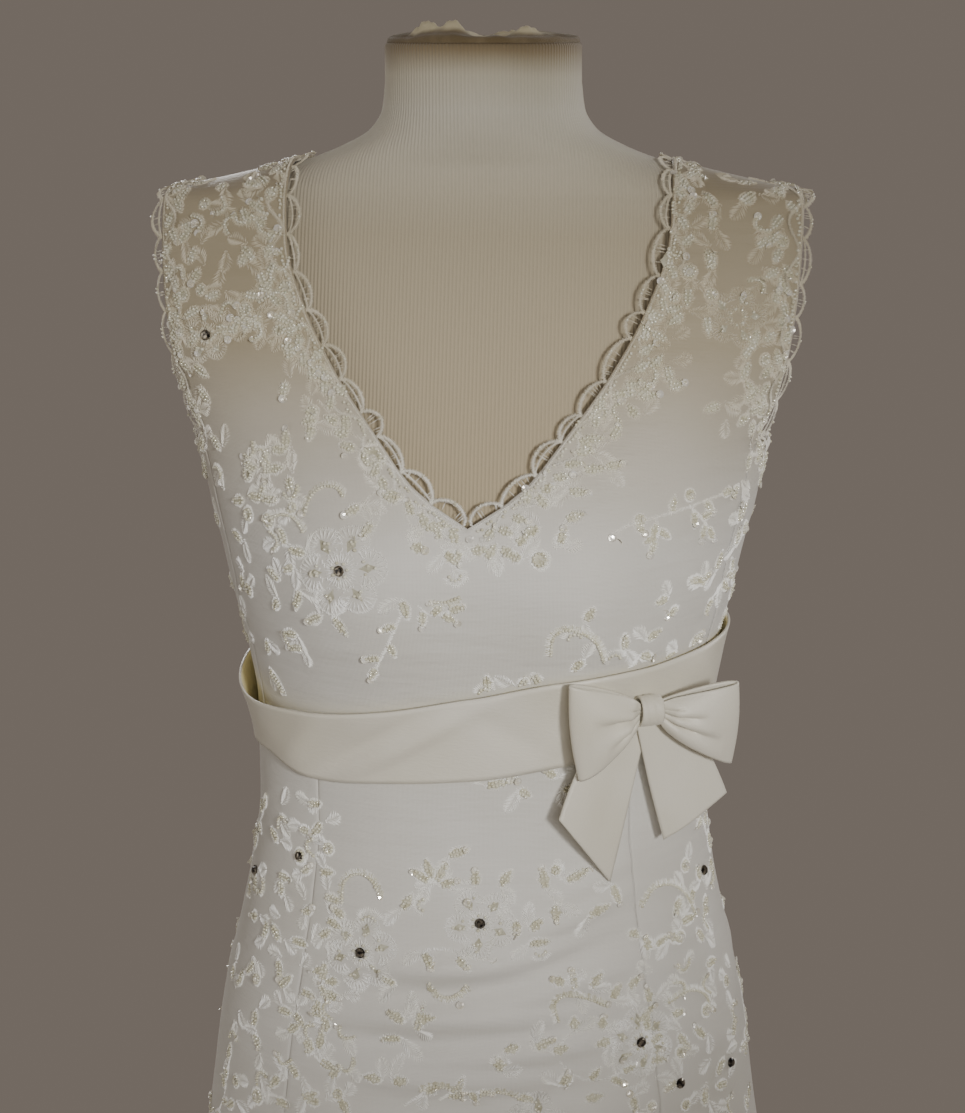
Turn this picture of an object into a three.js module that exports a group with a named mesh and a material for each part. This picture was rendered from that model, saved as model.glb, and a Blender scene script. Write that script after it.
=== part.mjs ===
// A sleeveless V-neck wedding dress with a satin sash and bow, worn by a limbless dress form on a stand.
// Millimetres, +Z up, front towards -Y. The origin is on the floor, under the middle of the stand.
import * as THREE from "three";

// Driving dimensions
const HEM_Z = 12; // the hem hangs just clear of the floor
const WAIST_SEAM_Z = 1140; // bodice and skirt meet here, behind the sash
const V_POINT_Z = 1272; // lowest point of the front neckline
const BACK_NECK_Z = 1390; // lowest point of the back neckline
const UNDERARM_Z = 1296; // lowest point of the armhole
const ARMHOLE_CORNER_Z = 1315; // the side-front and side-back seams end here, in the armhole
const CLOTH = 1.8; // wall of the dress: satin, net and lace together
const SASH_CLOTH = 1.6;
const BOW_CLOTH = 1.5;
const LACE_CLOTH = 1.1;
const SEAM_GAP = 0.3; // between pieces that are sewn together
const LAID_ON = 0.8; // between a panel and what lies on it
const NECK_TOP_Z = 1540;
const FORM_BOTTOM_Z = 800;
const BASE_RADIUS = 170;
const BASE_THICKNESS = 9;
const BASE_CROWN = 12;
const POLE_RADIUS = 16;
const HUB = { bottom: BASE_CROWN + SEAM_GAP, top: 42, radius: 31, topRadius: 23 };

// Seams, as shares of the half width for the bodice and as degrees from the front centre for the skirt
const SIDE_FRONT_SHARE = 0.93;
const SIDE_BACK_SHARE = 0.86;
const SKIRT_SEAMS = [
  { name: "skirt_front", from: -40, to: 40, columns: 16 },
  { name: "skirt_side_front_right", from: 40, to: 90, columns: 10 },
  { name: "skirt_side_back_right", from: 90, to: 135, columns: 9 },
  { name: "skirt_back_right", from: 135, to: 180, columns: 9 },
  { name: "skirt_back_left", from: 180, to: 225, columns: 9 },
  { name: "skirt_side_back_left", from: 225, to: 270, columns: 9 },
  { name: "skirt_side_front_left", from: 270, to: 320, columns: 10 },
];
const SKIRT_ROWS = [130, 290, 450, 600, 720, 810, 882, 950, 1014, 1068, 1104];

// Rows of the bodice: its pieces share those below the armhole's corner, and the straps have the rest,
// as shares of the way from that corner to the shoulder
const BODICE_ROWS = [1140.15, 1168, 1190, 1212, 1232, 1252, 1272, 1293, 1315];
const FRONT_STRAP_ROWS = [0.12, 0.25, 0.38, 0.51, 0.64, 0.76, 0.87, 0.95, 1];
const BACK_STRAP_ROWS = [0.2, 0.38, 0.55, 0.7, 0.84, 0.94, 1];

// The dress form, from its bottom to the neck's top: half width, depth to the front and back of its
// centre, where that centre lies, and how square the section is (2 is an ellipse)
const FORM_SECTIONS = [
  { z: 800, halfWidth: 159, front: 100, back: 112, centre: 0, square: 2.2 },
  { z: 870, halfWidth: 167, front: 112, back: 126, centre: 0, square: 2.2 },
  { z: 941, halfWidth: 159, front: 107, back: 119, centre: 0, square: 2.2 },
  { z: 1003, halfWidth: 145, front: 100, back: 108, centre: 0, square: 2.2 },
  { z: 1083, halfWidth: 131, front: 92, back: 91, centre: 0, square: 2.2 },
  { z: 1140, halfWidth: 132, front: 94, back: 90, centre: 0, square: 2.2 },
  { z: 1177, halfWidth: 137, front: 98, back: 94, centre: 0, square: 2.2 },
  { z: 1212, halfWidth: 146, front: 102, back: 98, centre: 0, square: 2.2 },
  { z: 1240, halfWidth: 152, front: 105, back: 102, centre: 0, square: 2.2 },
  { z: 1270, halfWidth: 157, front: 105, back: 105, centre: 1, square: 2.25 },
  { z: 1300, halfWidth: 162, front: 101, back: 107, centre: 3, square: 2.3 },
  { z: 1350, halfWidth: 170, front: 86, back: 104, centre: 7, square: 2.4 },
  { z: 1400, halfWidth: 177, front: 68, back: 93, centre: 10, square: 2.5 },
  { z: 1430, halfWidth: 181, front: 56, back: 79, centre: 12, square: 2.5 },
  { z: 1446, halfWidth: 175, front: 49, back: 68, centre: 13, square: 2.4 },
  { z: 1453.6, halfWidth: 165, front: 46, back: 60, centre: 13, square: 2.3 },
  { z: 1459, halfWidth: 143, front: 46, back: 58, centre: 13, square: 2.2 },
  { z: 1466.2, halfWidth: 116, front: 46, back: 56, centre: 13, square: 2.2 },
  { z: 1477.5, halfWidth: 85, front: 50, back: 54, centre: 12, square: 2.1 },
  { z: 1488, halfWidth: 67, front: 54, back: 55, centre: 11, square: 2 },
  { z: 1500, halfWidth: 60, front: 56, back: 57, centre: 10, square: 2 },
  { z: 1520, halfWidth: 58, front: 56, back: 57, centre: 8, square: 2 },
  { z: 1540, halfWidth: 58, front: 56, back: 57, centre: 7, square: 2 },
];

// The inside of the dress, from the hem to the shoulders
const DRESS_SECTIONS = [
  { z: 12, halfWidth: 402, front: 372, back: 412, centre: 0, square: 2.05 },
  { z: 100, halfWidth: 380, front: 348, back: 386, centre: 0, square: 2.05 },
  { z: 300, halfWidth: 322, front: 286, back: 318, centre: 0, square: 2.1 },
  { z: 500, halfWidth: 262, front: 224, back: 252, centre: 0, square: 2.1 },
  { z: 700, halfWidth: 209, front: 166, back: 188, centre: 0, square: 2.15 },
  { z: 800, halfWidth: 187, front: 139, back: 156, centre: 0, square: 2.2 },
  { z: 870, halfWidth: 175, front: 124, back: 140, centre: 0, square: 2.2 },
  { z: 941, halfWidth: 165, front: 114, back: 128, centre: 0, square: 2.2 },
  { z: 1003, halfWidth: 151, front: 107, back: 116, centre: 0, square: 2.2 },
  { z: 1037, halfWidth: 144, front: 103, back: 108, centre: 0, square: 2.2 },
  { z: 1083, halfWidth: 138, front: 99, back: 99, centre: 0, square: 2.2 },
  { z: 1140, halfWidth: 138, front: 100, back: 97, centre: 0, square: 2.2 },
  { z: 1177, halfWidth: 143, front: 103, back: 100, centre: 0, square: 2.2 },
  { z: 1212, halfWidth: 151, front: 107, back: 103, centre: 0, square: 2.2 },
  { z: 1240, halfWidth: 157, front: 109, back: 107, centre: 0, square: 2.2 },
  { z: 1270, halfWidth: 164, front: 109, back: 110, centre: 1, square: 2.25 },
  { z: 1300, halfWidth: 171, front: 105, back: 112, centre: 3, square: 2.35 },
  { z: 1335, halfWidth: 183, front: 96, back: 111, centre: 6, square: 2.6 },
  { z: 1369, halfWidth: 194, front: 84, back: 106, centre: 8, square: 2.9 },
  { z: 1400, halfWidth: 200, front: 73, back: 98, centre: 10, square: 3 },
  { z: 1430, halfWidth: 203, front: 60, back: 83, centre: 12, square: 2.9 },
  { z: 1447, halfWidth: 199, front: 52, back: 71, centre: 13, square: 2.7 },
  { z: 1451, halfWidth: 190, front: 50, back: 67, centre: 13, square: 2.6 },
  { z: 1455, halfWidth: 167, front: 49, back: 64, centre: 13, square: 2.5 },
  { z: 1460, halfWidth: 144, front: 49, back: 61, centre: 13, square: 2.4 },
  { z: 1467.2, halfWidth: 117, front: 49, back: 59, centre: 13, square: 2.3 },
  { z: 1478.5, halfWidth: 87, front: 53, back: 57, centre: 12, square: 2.2 },
];

// The bust, a smooth swelling of the front: its two centres, height, width and fall
const FORM_BUST = { x: 80, z: 1232, forward: 24, across: 46, upright: 46 };
const DRESS_BUST = { x: 78, z: 1232, forward: 25, across: 50, upright: 47 };

// The front neckline and the armhole edges, as the distance from the centre line at each height
const FRONT_NECKLINE = [
  { z: 1272, x: 0 },
  { z: 1291, x: 29 },
  { z: 1321, x: 54 },
  { z: 1355, x: 79 },
  { z: 1390, x: 98 },
  { z: 1425, x: 110 },
  { z: 1452, x: 112 },
  { z: 1480, x: 112 },
];
const BACK_NECKLINE = [
  { z: 1390, x: 0 },
  { z: 1395, x: 34 },
  { z: 1408, x: 66 },
  { z: 1430, x: 92 },
  { z: 1452, x: 109 },
  { z: 1480, x: 112 },
];
const FRONT_ARMHOLE = [
  { z: 1335, x: 173 },
  { z: 1369, x: 181 },
  { z: 1412, x: 186 },
  { z: 1450, x: 188 },
  { z: 1480, x: 188 },
];
const BACK_ARMHOLE = [
  { z: 1335, x: 163 },
  { z: 1369, x: 175 },
  { z: 1412, x: 184 },
  { z: 1450, x: 188 },
  { z: 1480, x: 188 },
];

// The skirt's flutes: where each lies, how wide and deep it is at the hem, and where it starts
const FLUTES = [
  { angle: 4, halfWidth: 13, depth: 26, top: 700 },
  { angle: 34, halfWidth: 12, depth: 34, top: 780 },
  { angle: 60, halfWidth: 11, depth: 28, top: 660 },
  { angle: 86, halfWidth: 13, depth: 37, top: 740 },
  { angle: 114, halfWidth: 12, depth: 30, top: 690 },
  { angle: 141, halfWidth: 12, depth: 38, top: 800 },
  { angle: 168, halfWidth: 11, depth: 30, top: 720 },
  { angle: 194, halfWidth: 12, depth: 35, top: 790 },
  { angle: 222, halfWidth: 13, depth: 29, top: 680 },
  { angle: 249, halfWidth: 11, depth: 36, top: 760 },
  { angle: 275, halfWidth: 12, depth: 31, top: 700 },
  { angle: 303, halfWidth: 13, depth: 35, top: 750 },
  { angle: 333, halfWidth: 12, depth: 27, top: 670 },
];

// The sash round the body: its edges, and how far its upper edge stands off the bodice
const SASH = [
  { angle: -180, bottom: 1120, top: 1177, gape: 0.6 },
  { angle: -120, bottom: 1116, top: 1172, gape: 1.5 },
  { angle: -90, bottom: 1117, top: 1163, gape: 5 },
  { angle: -62, bottom: 1119, top: 1155, gape: 9 },
  { angle: -42, bottom: 1111, top: 1157, gape: 6 },
  { angle: -18, bottom: 1115, top: 1164, gape: 3.5 },
  { angle: 0, bottom: 1119, top: 1173, gape: 2.5 },
  { angle: 18, bottom: 1127, top: 1184, gape: 1.5 },
  { angle: 40, bottom: 1134, top: 1189, gape: 1.2 },
  { angle: 90, bottom: 1138, top: 1194, gape: 1.2 },
  { angle: 180, bottom: 1120, top: 1177, gape: 0.6 },
];
const SASH_COLUMNS = 72;
const SASH_LIFT = 1.2;

// The bow, in its own frame: u to the wearer's left along it, v up and w out of it
const BOW_ANGLE = 41; // where its knot lies round the sash
const BOW_HEIGHT_SHARE = 0.56;
const BOW_STAND_OFF = 1.5; // the knot is straight and the sash is round, so its ends come closer
const BOW_YAW = 26; // degrees that it faces to the side
const BOW_TILT = 9; // degrees that it faces down, as the sash does there
const KNOT = { halfWidth: 6.5, halfHeight: 9.5, depth: 15.5 };
const LOOPS = [
  { name: "bow_loop_left", side: -1, top: 23, bottom: 38, reachTop: 52, reachBottom: 41, rise: 3 },
  { name: "bow_loop_right", side: 1, top: 14, bottom: 38, reachTop: 53, reachBottom: 54, rise: 5 },
];
const LOOP_NECK = { half: 4.1, start: 2, middle: 7.75, halfDepth: 0.9, fullDepth: 5.6 };
const LOOP_OPENING = 0.65; // below 1, so that a loop is full close to the knot
const LOOP_PATH = [0, 0.012, 0.03, 0.07, 0.15, 0.28, 0.42, 0.5, 0.58, 0.72, 0.85, 0.93, 0.97, 0.988, 1];
const TAILS = [
  {
    name: "bow_tail_left",
    from: [-8, -0.4],
    to: [
      { u: -53.5, v: -62 },
      { u: -17.5, v: -108 },
    ],
    opening: [0.46, 1],
    out: 11,
  },
  {
    name: "bow_tail_right",
    from: [0.4, 8],
    to: [
      { u: 20, v: -84 },
      { u: 56, v: -60 },
    ],
    opening: [1, 0.42],
    out: 9,
  },
];
const TAIL_START = { v: -8, w: 0.3 };
const TAIL_LIFT = 1.35; // a tail lies flat under its loop and stands off further down

// Lace: the scalloped cord along the edges, and the flowers laid on the panels
const SCALLOP = { pitch: 23, band: 5, cord: 2.3 };
const SCALLOP_PROFILE = [
  { share: 0, crest: 2.4 },
  { share: 0.13, crest: 2.4 },
  { share: 0.41, crest: 8.6 },
  { share: 0.72, crest: 8.6 },
];
const FLOWERS = [
  { name: "lace_flower_01", x: -72, z: 1248, back: false, radius: 27, petals: 6, turn: 10 },
  { name: "lace_flower_02", x: -157, z: 1372, back: false, radius: 17, petals: 5, turn: 30 },
  { name: "lace_flower_03", x: 150, z: 1385, back: false, radius: 18, petals: 5, turn: 0 },
  { name: "lace_flower_04", x: -66, z: 1008, back: false, radius: 23, petals: 6, turn: 20 },
  { name: "lace_flower_05", x: 6, z: 1031, back: false, radius: 21, petals: 5, turn: 50 },
  { name: "lace_flower_06", x: 102, z: 953, back: false, radius: 22, petals: 6, turn: 35 },
  { name: "lace_flower_07", x: 42, z: 905, back: false, radius: 20, petals: 5, turn: 15 },
  { name: "lace_flower_08", x: -60, z: 1240, back: true, radius: 24, petals: 6, turn: 25 },
  { name: "lace_flower_09", x: 72, z: 1330, back: true, radius: 20, petals: 5, turn: 40 },
  { name: "lace_flower_10", x: 62, z: 1000, back: true, radius: 22, petals: 6, turn: 5 },
  { name: "lace_flower_11", x: -70, z: 940, back: true, radius: 21, petals: 5, turn: 45 },
];

// Covered buttons down the centre back, above and below the sash
const BUTTON = { radius: 5, height: 4.4, lift: 0.7 };
const BUTTON_ROW = { first: 1366, last: 1006, step: 30 };

const RADIANS = Math.PI / 180;
const FRONT = -1;
const BACK = 1;

// The value of one column of a table at a height or angle, on a smooth curve that never overshoots
function read(table, key, name, at) {
  const last = table.length - 1;
  if (at <= table[0][key]) return table[0][name];
  if (at >= table[last][key]) return table[last][name];
  const i = table.findIndex((row) => row[key] > at) - 1;
  const step = (j) => table[j + 1][key] - table[j][key];
  const slope = (j) => (table[j + 1][name] - table[j][name]) / step(j);
  const tangent = (j) => {
    if (j === 0) return slope(0);
    if (j === last) return slope(last - 1);
    const before = slope(j - 1);
    const after = slope(j);
    return before * after <= 0 ? 0 : (2 * before * after) / (before + after);
  };
  const width = step(i);
  const t = (at - table[i][key]) / width;
  return (
    table[i][name] * (1 + 2 * t) * (1 - t) * (1 - t) +
    tangent(i) * width * t * (1 - t) * (1 - t) +
    table[i + 1][name] * t * t * (3 - 2 * t) +
    tangent(i + 1) * width * t * t * (t - 1)
  );
}

function mix(a, b, share) {
  return a + (b - a) * share;
}

// The difference between two directions in degrees, from -180 to 180
function turnBetween(a, b) {
  return ((((a - b) % 360) + 540) % 360) - 180;
}

// A body's surface, from a table of sections and a bust
function surfaceOf(sections, bust, flutes) {
  const get = (name, z) => read(sections, "z", name, z);
  const swell = (x, z) => {
    const hump = (side) => Math.exp(-((x - side * bust.x) ** 2) / (2 * bust.across ** 2));
    const level = Math.exp(-((z - bust.z) ** 2) / (2 * bust.upright ** 2));
    return bust.forward * level * Math.min(1, hump(1) + hump(-1));
  };
  const fluteAt = (angle, z) =>
    flutes.reduce((sum, flute) => {
      const off = Math.abs(turnBetween(angle, flute.angle)) / flute.halfWidth;
      if (off >= 1 || z >= flute.top) return sum;
      const ramp = ((flute.top - z) / (flute.top - HEM_Z)) ** 1.3;
      return sum + flute.depth * ramp * 0.5 * (1 + Math.cos(Math.PI * off));
    }, 0);
  // The point at x on the front or the back
  const beside = (x, z, side) => {
    const square = get("square", z);
    const across = Math.min(1, Math.abs(x) / get("halfWidth", z));
    const share = (1 - across ** square) ** (1 / square);
    const depth = side === FRONT ? get("front", z) + swell(x, z) : get("back", z);
    return new THREE.Vector3(x, get("centre", z) + side * depth * share, z);
  };
  // The point in a direction, in degrees from the front centre towards +X
  const at = (angle, z) => {
    const square = get("square", z);
    const sine = Math.sin(angle * RADIANS);
    const cosine = Math.cos(angle * RADIANS);
    const x = get("halfWidth", z) * Math.sign(sine) * Math.abs(sine) ** (2 / square);
    const depth = cosine > 0 ? get("front", z) + swell(x, z) : get("back", z);
    const y = -depth * Math.sign(cosine) * Math.abs(cosine) ** (2 / square);
    const out = new THREE.Vector3(x, y, 0).normalize().multiplyScalar(fluteAt(angle, z));
    return new THREE.Vector3(x, get("centre", z) + y, z).add(out);
  };
  // The height of the shoulder at x
  const ridge = (x) => {
    let low = 1430;
    let high = sections[sections.length - 1].z;
    for (let i = 0; i < 40; i += 1) {
      const middle = (low + high) / 2;
      if (get("halfWidth", middle) > Math.abs(x)) low = middle;
      else high = middle;
    }
    return low;
  };
  const halfWidth = (z) => get("halfWidth", z);
  const angleOf = (share, z) => Math.asin(share ** (get("square", z) / 2)) / RADIANS;
  return { beside, at, ridge, halfWidth, angleOf };
}

const form = surfaceOf(FORM_SECTIONS, FORM_BUST, []);
const dress = surfaceOf(DRESS_SECTIONS, DRESS_BUST, FLUTES);

// A point and the outward normal of the surface that place(u, v) gives, u running anticlockwise seen
// from above and v upwards
function sample(place, u, v, stepU, stepV, limitV = Infinity) {
  const across = place(u + stepU, v).sub(place(u - stepU, v));
  const up = place(u, Math.min(limitV, v + stepV)).sub(place(u, v - stepV));
  return { point: place(u, v), normal: across.cross(up).normalize() };
}

// A sheet is a list of samples and the faces between them, anticlockwise seen from outside
function newSheet() {
  return { samples: [], faces: [] };
}

function addRow(sheet, samples) {
  return samples.map((s) => sheet.samples.push(s) - 1);
}

function addStrip(sheet, lower, upper) {
  for (let i = 0; i + 1 < lower.length; i += 1) {
    sheet.faces.push([lower[i], lower[i + 1], upper[i + 1], upper[i]]);
  }
}

function gridSheet(rows) {
  const sheet = newSheet();
  const lines = rows.map((row) => addRow(sheet, row));
  for (let j = 0; j + 1 < lines.length; j += 1) addStrip(sheet, lines[j], lines[j + 1]);
  return sheet;
}

function mirrored(sheet) {
  const flip = (v) => new THREE.Vector3(-v.x, v.y, v.z);
  return {
    samples: sheet.samples.map((s) => ({ point: flip(s.point), normal: flip(s.normal) })),
    faces: sheet.faces.map((face) => [...face].reverse()),
  };
}

// A closed wall of that thickness, its inside raised from the sheet by lift
function wall(sheet, lift, thickness) {
  const count = sheet.samples.length;
  const positions = [];
  for (const raise of [lift + thickness, lift]) {
    for (const s of sheet.samples) {
      positions.push(...s.point.clone().addScaledVector(s.normal, raise).toArray());
    }
  }
  const index = [];
  const edges = new Set();
  for (const face of sheet.faces) {
    face.forEach((a, i) => edges.add(`${a} ${face[(i + 1) % face.length]}`));
    for (let i = 1; i + 1 < face.length; i += 1) {
      index.push(face[0], face[i], face[i + 1]);
      index.push(face[0] + count, face[i + 1] + count, face[i] + count);
    }
  }
  for (const edge of edges) {
    const [a, b] = edge.split(" ").map(Number);
    if (edges.has(`${b} ${a}`)) continue;
    index.push(b, a, a + count, b, a + count, b + count);
  }
  const geometry = new THREE.BufferGeometry();
  geometry.setAttribute("position", new THREE.Float32BufferAttribute(positions, 3));
  geometry.setIndex(index);
  geometry.computeVertexNormals();
  return geometry;
}

// A closed solid from rings of points, bottom to top, with flat ends
function loft(rings) {
  const columns = rings[0].length;
  const positions = rings.flat().flatMap((p) => p.toArray());
  const index = [];
  for (let j = 0; j + 1 < rings.length; j += 1) {
    for (let i = 0; i < columns; i += 1) {
      const a = j * columns + i;
      const b = j * columns + ((i + 1) % columns);
      index.push(a, b, b + columns, a, b + columns, a + columns);
    }
  }
  const cap = (ring, first, upwards) => {
    const middle = ring.reduce((sum, p) => sum.add(p), new THREE.Vector3()).divideScalar(columns);
    const hub = positions.length / 3;
    positions.push(...middle.toArray());
    for (let i = 0; i < columns; i += 1) {
      const a = first + i;
      const b = first + ((i + 1) % columns);
      index.push(hub, upwards ? a : b, upwards ? b : a);
    }
  };
  cap(rings[0], 0, false);
  cap(rings[rings.length - 1], (rings.length - 1) * columns, true);
  const geometry = new THREE.BufferGeometry();
  geometry.setAttribute("position", new THREE.Float32BufferAttribute(positions, 3));
  geometry.setIndex(index);
  geometry.computeVertexNormals();
  return geometry;
}

const MATERIALS = {
  cover: new THREE.MeshStandardMaterial({ color: 0xd8cdb4, roughness: 0.95, metalness: 0 }),
  dress: new THREE.MeshStandardMaterial({ color: 0xe9e5da, roughness: 0.6, metalness: 0 }),
  satin: new THREE.MeshStandardMaterial({ color: 0xebe5d2, roughness: 0.42, metalness: 0 }),
  lace: new THREE.MeshStandardMaterial({ color: 0xf2efe6, roughness: 0.55, metalness: 0 }),
  stand: new THREE.MeshStandardMaterial({ color: 0x3a3734, roughness: 0.45, metalness: 0.6 }),
};

const group = new THREE.Group();

function add(name, geometry, material) {
  const mesh = new THREE.Mesh(geometry, MATERIALS[material]);
  mesh.name = name;
  group.add(mesh);
  return mesh;
}

// The dress form: a smooth torso with a neck, its gathered cover on top, a pole and a round base
function addForm() {
  const columns = 28;
  const heights = [
    800, 870, 941, 1003, 1083, 1140, 1190, 1235, 1275, 1315, 1350, 1380, 1405, 1425, 1438, 1447, 1453.6,
    1459, 1466.2, 1477.5, 1490, 1505, 1540,
  ];
  const ringAt = (z) =>
    Array.from({ length: columns }, (_, i) => form.at((360 * (i + 0.5)) / columns, z));
  add("form_torso", loft(heights.map(ringAt)), "cover");

  const gather = [
    { radius: 44, height: 0 },
    { radius: 46, height: 3 },
    { radius: 34, height: 8 },
    { radius: 16, height: 12 },
  ];
  const pleats = 7;
  const gatherRing = (row) =>
    Array.from({ length: 28 }, (_, i) => {
      const turn = (2 * Math.PI * i) / 28;
      const pucker = row.height * 0.22 * Math.cos(pleats * turn);
      const bottom = NECK_TOP_Z + SEAM_GAP;
      return new THREE.Vector3(
        row.radius * Math.cos(turn),
        8 + row.radius * Math.sin(turn),
        bottom + row.height + pucker,
      );
    });
  add("form_cover_gather", loft(gather.map(gatherRing)), "cover");

  const pole = new THREE.CylinderGeometry(
    POLE_RADIUS,
    POLE_RADIUS,
    FORM_BOTTOM_Z - HUB.top - 2 * SEAM_GAP,
    24,
  );
  const poleMesh = add("stand_pole", pole, "stand");
  poleMesh.rotation.x = Math.PI / 2;
  poleMesh.position.z = (FORM_BOTTOM_Z + HUB.top) / 2;

  const hub = new THREE.CylinderGeometry(HUB.topRadius, HUB.radius, HUB.top - HUB.bottom, 24);
  const hubMesh = add("stand_hub", hub, "stand");
  hubMesh.rotation.x = Math.PI / 2;
  hubMesh.position.z = (HUB.bottom + HUB.top) / 2;

  const profile = [
    [0, 0],
    [BASE_RADIUS, 0],
    [BASE_RADIUS, BASE_THICKNESS * 0.6],
    [BASE_RADIUS - 6, BASE_THICKNESS],
    [HUB.radius + 4, BASE_CROWN],
    [0, BASE_CROWN],
  ].map(([x, y]) => new THREE.Vector2(x, y));
  const base = add("stand_base", new THREE.LatheGeometry(profile, 40), "stand");
  base.rotation.x = Math.PI / 2;
}

// Columns across half of the front or back, closer together towards the side, where it curves
function spread(share) {
  return Math.sin(share * 67 * RADIANS) / Math.sin(67 * RADIANS);
}

// The edge that a strap follows from its foot to the shoulder: its x at each share of the way up
function edgeX(edge, foot, share) {
  const up = Math.sin((share * Math.PI) / 2);
  let x = edge(foot + (1468 - foot) * up);
  for (let i = 0; i < 6; i += 1) x = edge(foot + (dress.ridge(x) - foot) * up);
  return x;
}

// A point of a strap on the +X side: across is 0 at the neck edge and 1 at the arm edge
function strapPoint(strap, across, share) {
  const inner = edgeX(strap.inner, strap.foot, share);
  const outer = edgeX(strap.outer, strap.foot, share);
  const x = mix(inner, outer, across);
  const z = strap.foot + (dress.ridge(x) - strap.foot) * Math.sin((share * Math.PI) / 2);
  const point = dress.beside(x, z, strap.side);
  point.y += strap.side * (SEAM_GAP / 2) * share;
  return point;
}

// The share of the way up a strap at which its arm edge is at height z
function shareAt(strap, z) {
  const top = dress.ridge(strap.outer(z));
  return (2 / Math.PI) * Math.asin((z - strap.foot) / (top - strap.foot));
}

function strapSample(strap, across, share) {
  const sense = strap.side === FRONT ? 1 : -1;
  const place = (u, v) => strapPoint(strap, sense * u, v);
  return sample(place, sense * across, share, 0.01, 0.004, 1);
}

// The arm edge of a strap: down the side seam below the armhole's corner, and along the armhole above it
function armEdge(table, seamShare) {
  const corner = { z: ARMHOLE_CORNER_Z, x: seamShare * dress.halfWidth(ARMHOLE_CORNER_Z) };
  const edge = [corner, ...table];
  return (z) => (z < ARMHOLE_CORNER_Z ? seamShare * dress.halfWidth(z) : read(edge, "z", "x", z));
}

const FRONT_STRAP = {
  side: FRONT,
  foot: V_POINT_Z,
  inner: (z) => read(FRONT_NECKLINE, "z", "x", z),
  outer: armEdge(FRONT_ARMHOLE, SIDE_FRONT_SHARE),
};
const BACK_STRAP = {
  side: BACK,
  foot: BACK_NECK_Z,
  inner: (z) => Math.max(SEAM_GAP / 2, read(BACK_NECKLINE, "z", "x", z)),
  outer: armEdge(BACK_ARMHOLE, SIDE_BACK_SHARE),
};

// The bodice's front, in one piece with both front straps
function bodiceFront() {
  const half = 8;
  const sheet = newSheet();
  const place = (x, z) => dress.beside(x, z, FRONT);
  const rows = BODICE_ROWS.filter((z) => z <= V_POINT_Z).map((z) => {
    const edge = FRONT_STRAP.outer(z);
    const columns = Array.from({ length: 2 * half + 1 }, (_, i) => i - half);
    return addRow(
      sheet,
      columns.map((i) => sample(place, Math.sign(i) * edge * spread(Math.abs(i) / half), z, 0.5, 0.5)),
    );
  });
  for (let j = 0; j + 1 < rows.length; j += 1) addStrip(sheet, rows[j], rows[j + 1]);
  const top = rows[rows.length - 1];
  let right = top.slice(half);
  let left = top.slice(0, half + 1);
  const lowShares = BODICE_ROWS.filter((z) => z > V_POINT_Z).map((z) => shareAt(FRONT_STRAP, z));
  const cornerShare = lowShares[lowShares.length - 1];
  for (const share of [...lowShares, ...FRONT_STRAP_ROWS.map((row) => mix(cornerShare, 1, row))]) {
    const samples = Array.from({ length: half + 1 }, (_, i) =>
      strapSample(FRONT_STRAP, spread(i / half), share),
    );
    const nextRight = addRow(sheet, samples);
    const nextLeft = addRow(sheet, mirrored({ samples, faces: [] }).samples.reverse());
    addStrip(sheet, right, nextRight);
    addStrip(sheet, left, nextLeft);
    right = nextRight;
    left = nextLeft;
  }
  return sheet;
}

// One half of the back with its strap, on the +X side
function bodiceBack() {
  const half = 6;
  const sheet = newSheet();
  const place = (u, z) => dress.beside(-u, z, BACK);
  let lower = null;
  for (const z of [...BODICE_ROWS, 1340, 1366, BACK_NECK_Z]) {
    const inner = SEAM_GAP / 2;
    const outer = BACK_STRAP.outer(z);
    const xs = Array.from({ length: half + 1 }, (_, i) => mix(inner, outer, spread(i / half))).reverse();
    const upper = addRow(
      sheet,
      xs.map((x) => sample(place, -x, z, Math.min(0.5, x / 2), 0.5)),
    );
    if (lower) addStrip(sheet, lower, upper);
    lower = upper;
  }
  for (const share of BACK_STRAP_ROWS) {
    const samples = Array.from({ length: half + 1 }, (_, i) =>
      strapSample(BACK_STRAP, spread(i / half), share),
    ).reverse();
    const upper = addRow(sheet, samples);
    addStrip(sheet, lower, upper);
    lower = upper;
  }
  return sheet;
}

// The height of the armhole's edge on the side panel
function underarm(share) {
  return UNDERARM_Z + (ARMHOLE_CORNER_Z - UNDERARM_Z) * Math.abs(2 * share - 1) ** 2.2;
}

// A point of the side panel: across runs from its front seam to its back seam, up to the armhole
function sidePoint(across, up) {
  const z = mix(BODICE_ROWS[0], underarm(across), up);
  const gap = (SEAM_GAP * 1.2) / dress.halfWidth(z) / RADIANS;
  const from = dress.angleOf(SIDE_FRONT_SHARE, z) + gap;
  const to = 180 - dress.angleOf(SIDE_BACK_SHARE, z) - gap;
  return dress.at(mix(from, to, across), z);
}

function bodiceSide() {
  const ups = BODICE_ROWS.map((z) => (z - BODICE_ROWS[0]) / (ARMHOLE_CORNER_Z - BODICE_ROWS[0]));
  const columns = 6;
  return gridSheet(
    ups.map((up) =>
      Array.from({ length: columns + 1 }, (_, i) => sample(sidePoint, i / columns, up, 0.01, 0.01)),
    ),
  );
}

function addBodice() {
  const back = bodiceBack();
  const side = bodiceSide();
  add("bodice_front", wall(bodiceFront(), 0, CLOTH), "dress");
  add("bodice_side_right", wall(side, 0, CLOTH), "dress");
  add("bodice_side_left", wall(mirrored(side), 0, CLOTH), "dress");
  add("bodice_back_right", wall(back, 0, CLOTH), "dress");
  add("bodice_back_left", wall(mirrored(back), 0, CLOTH), "dress");
}

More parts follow.
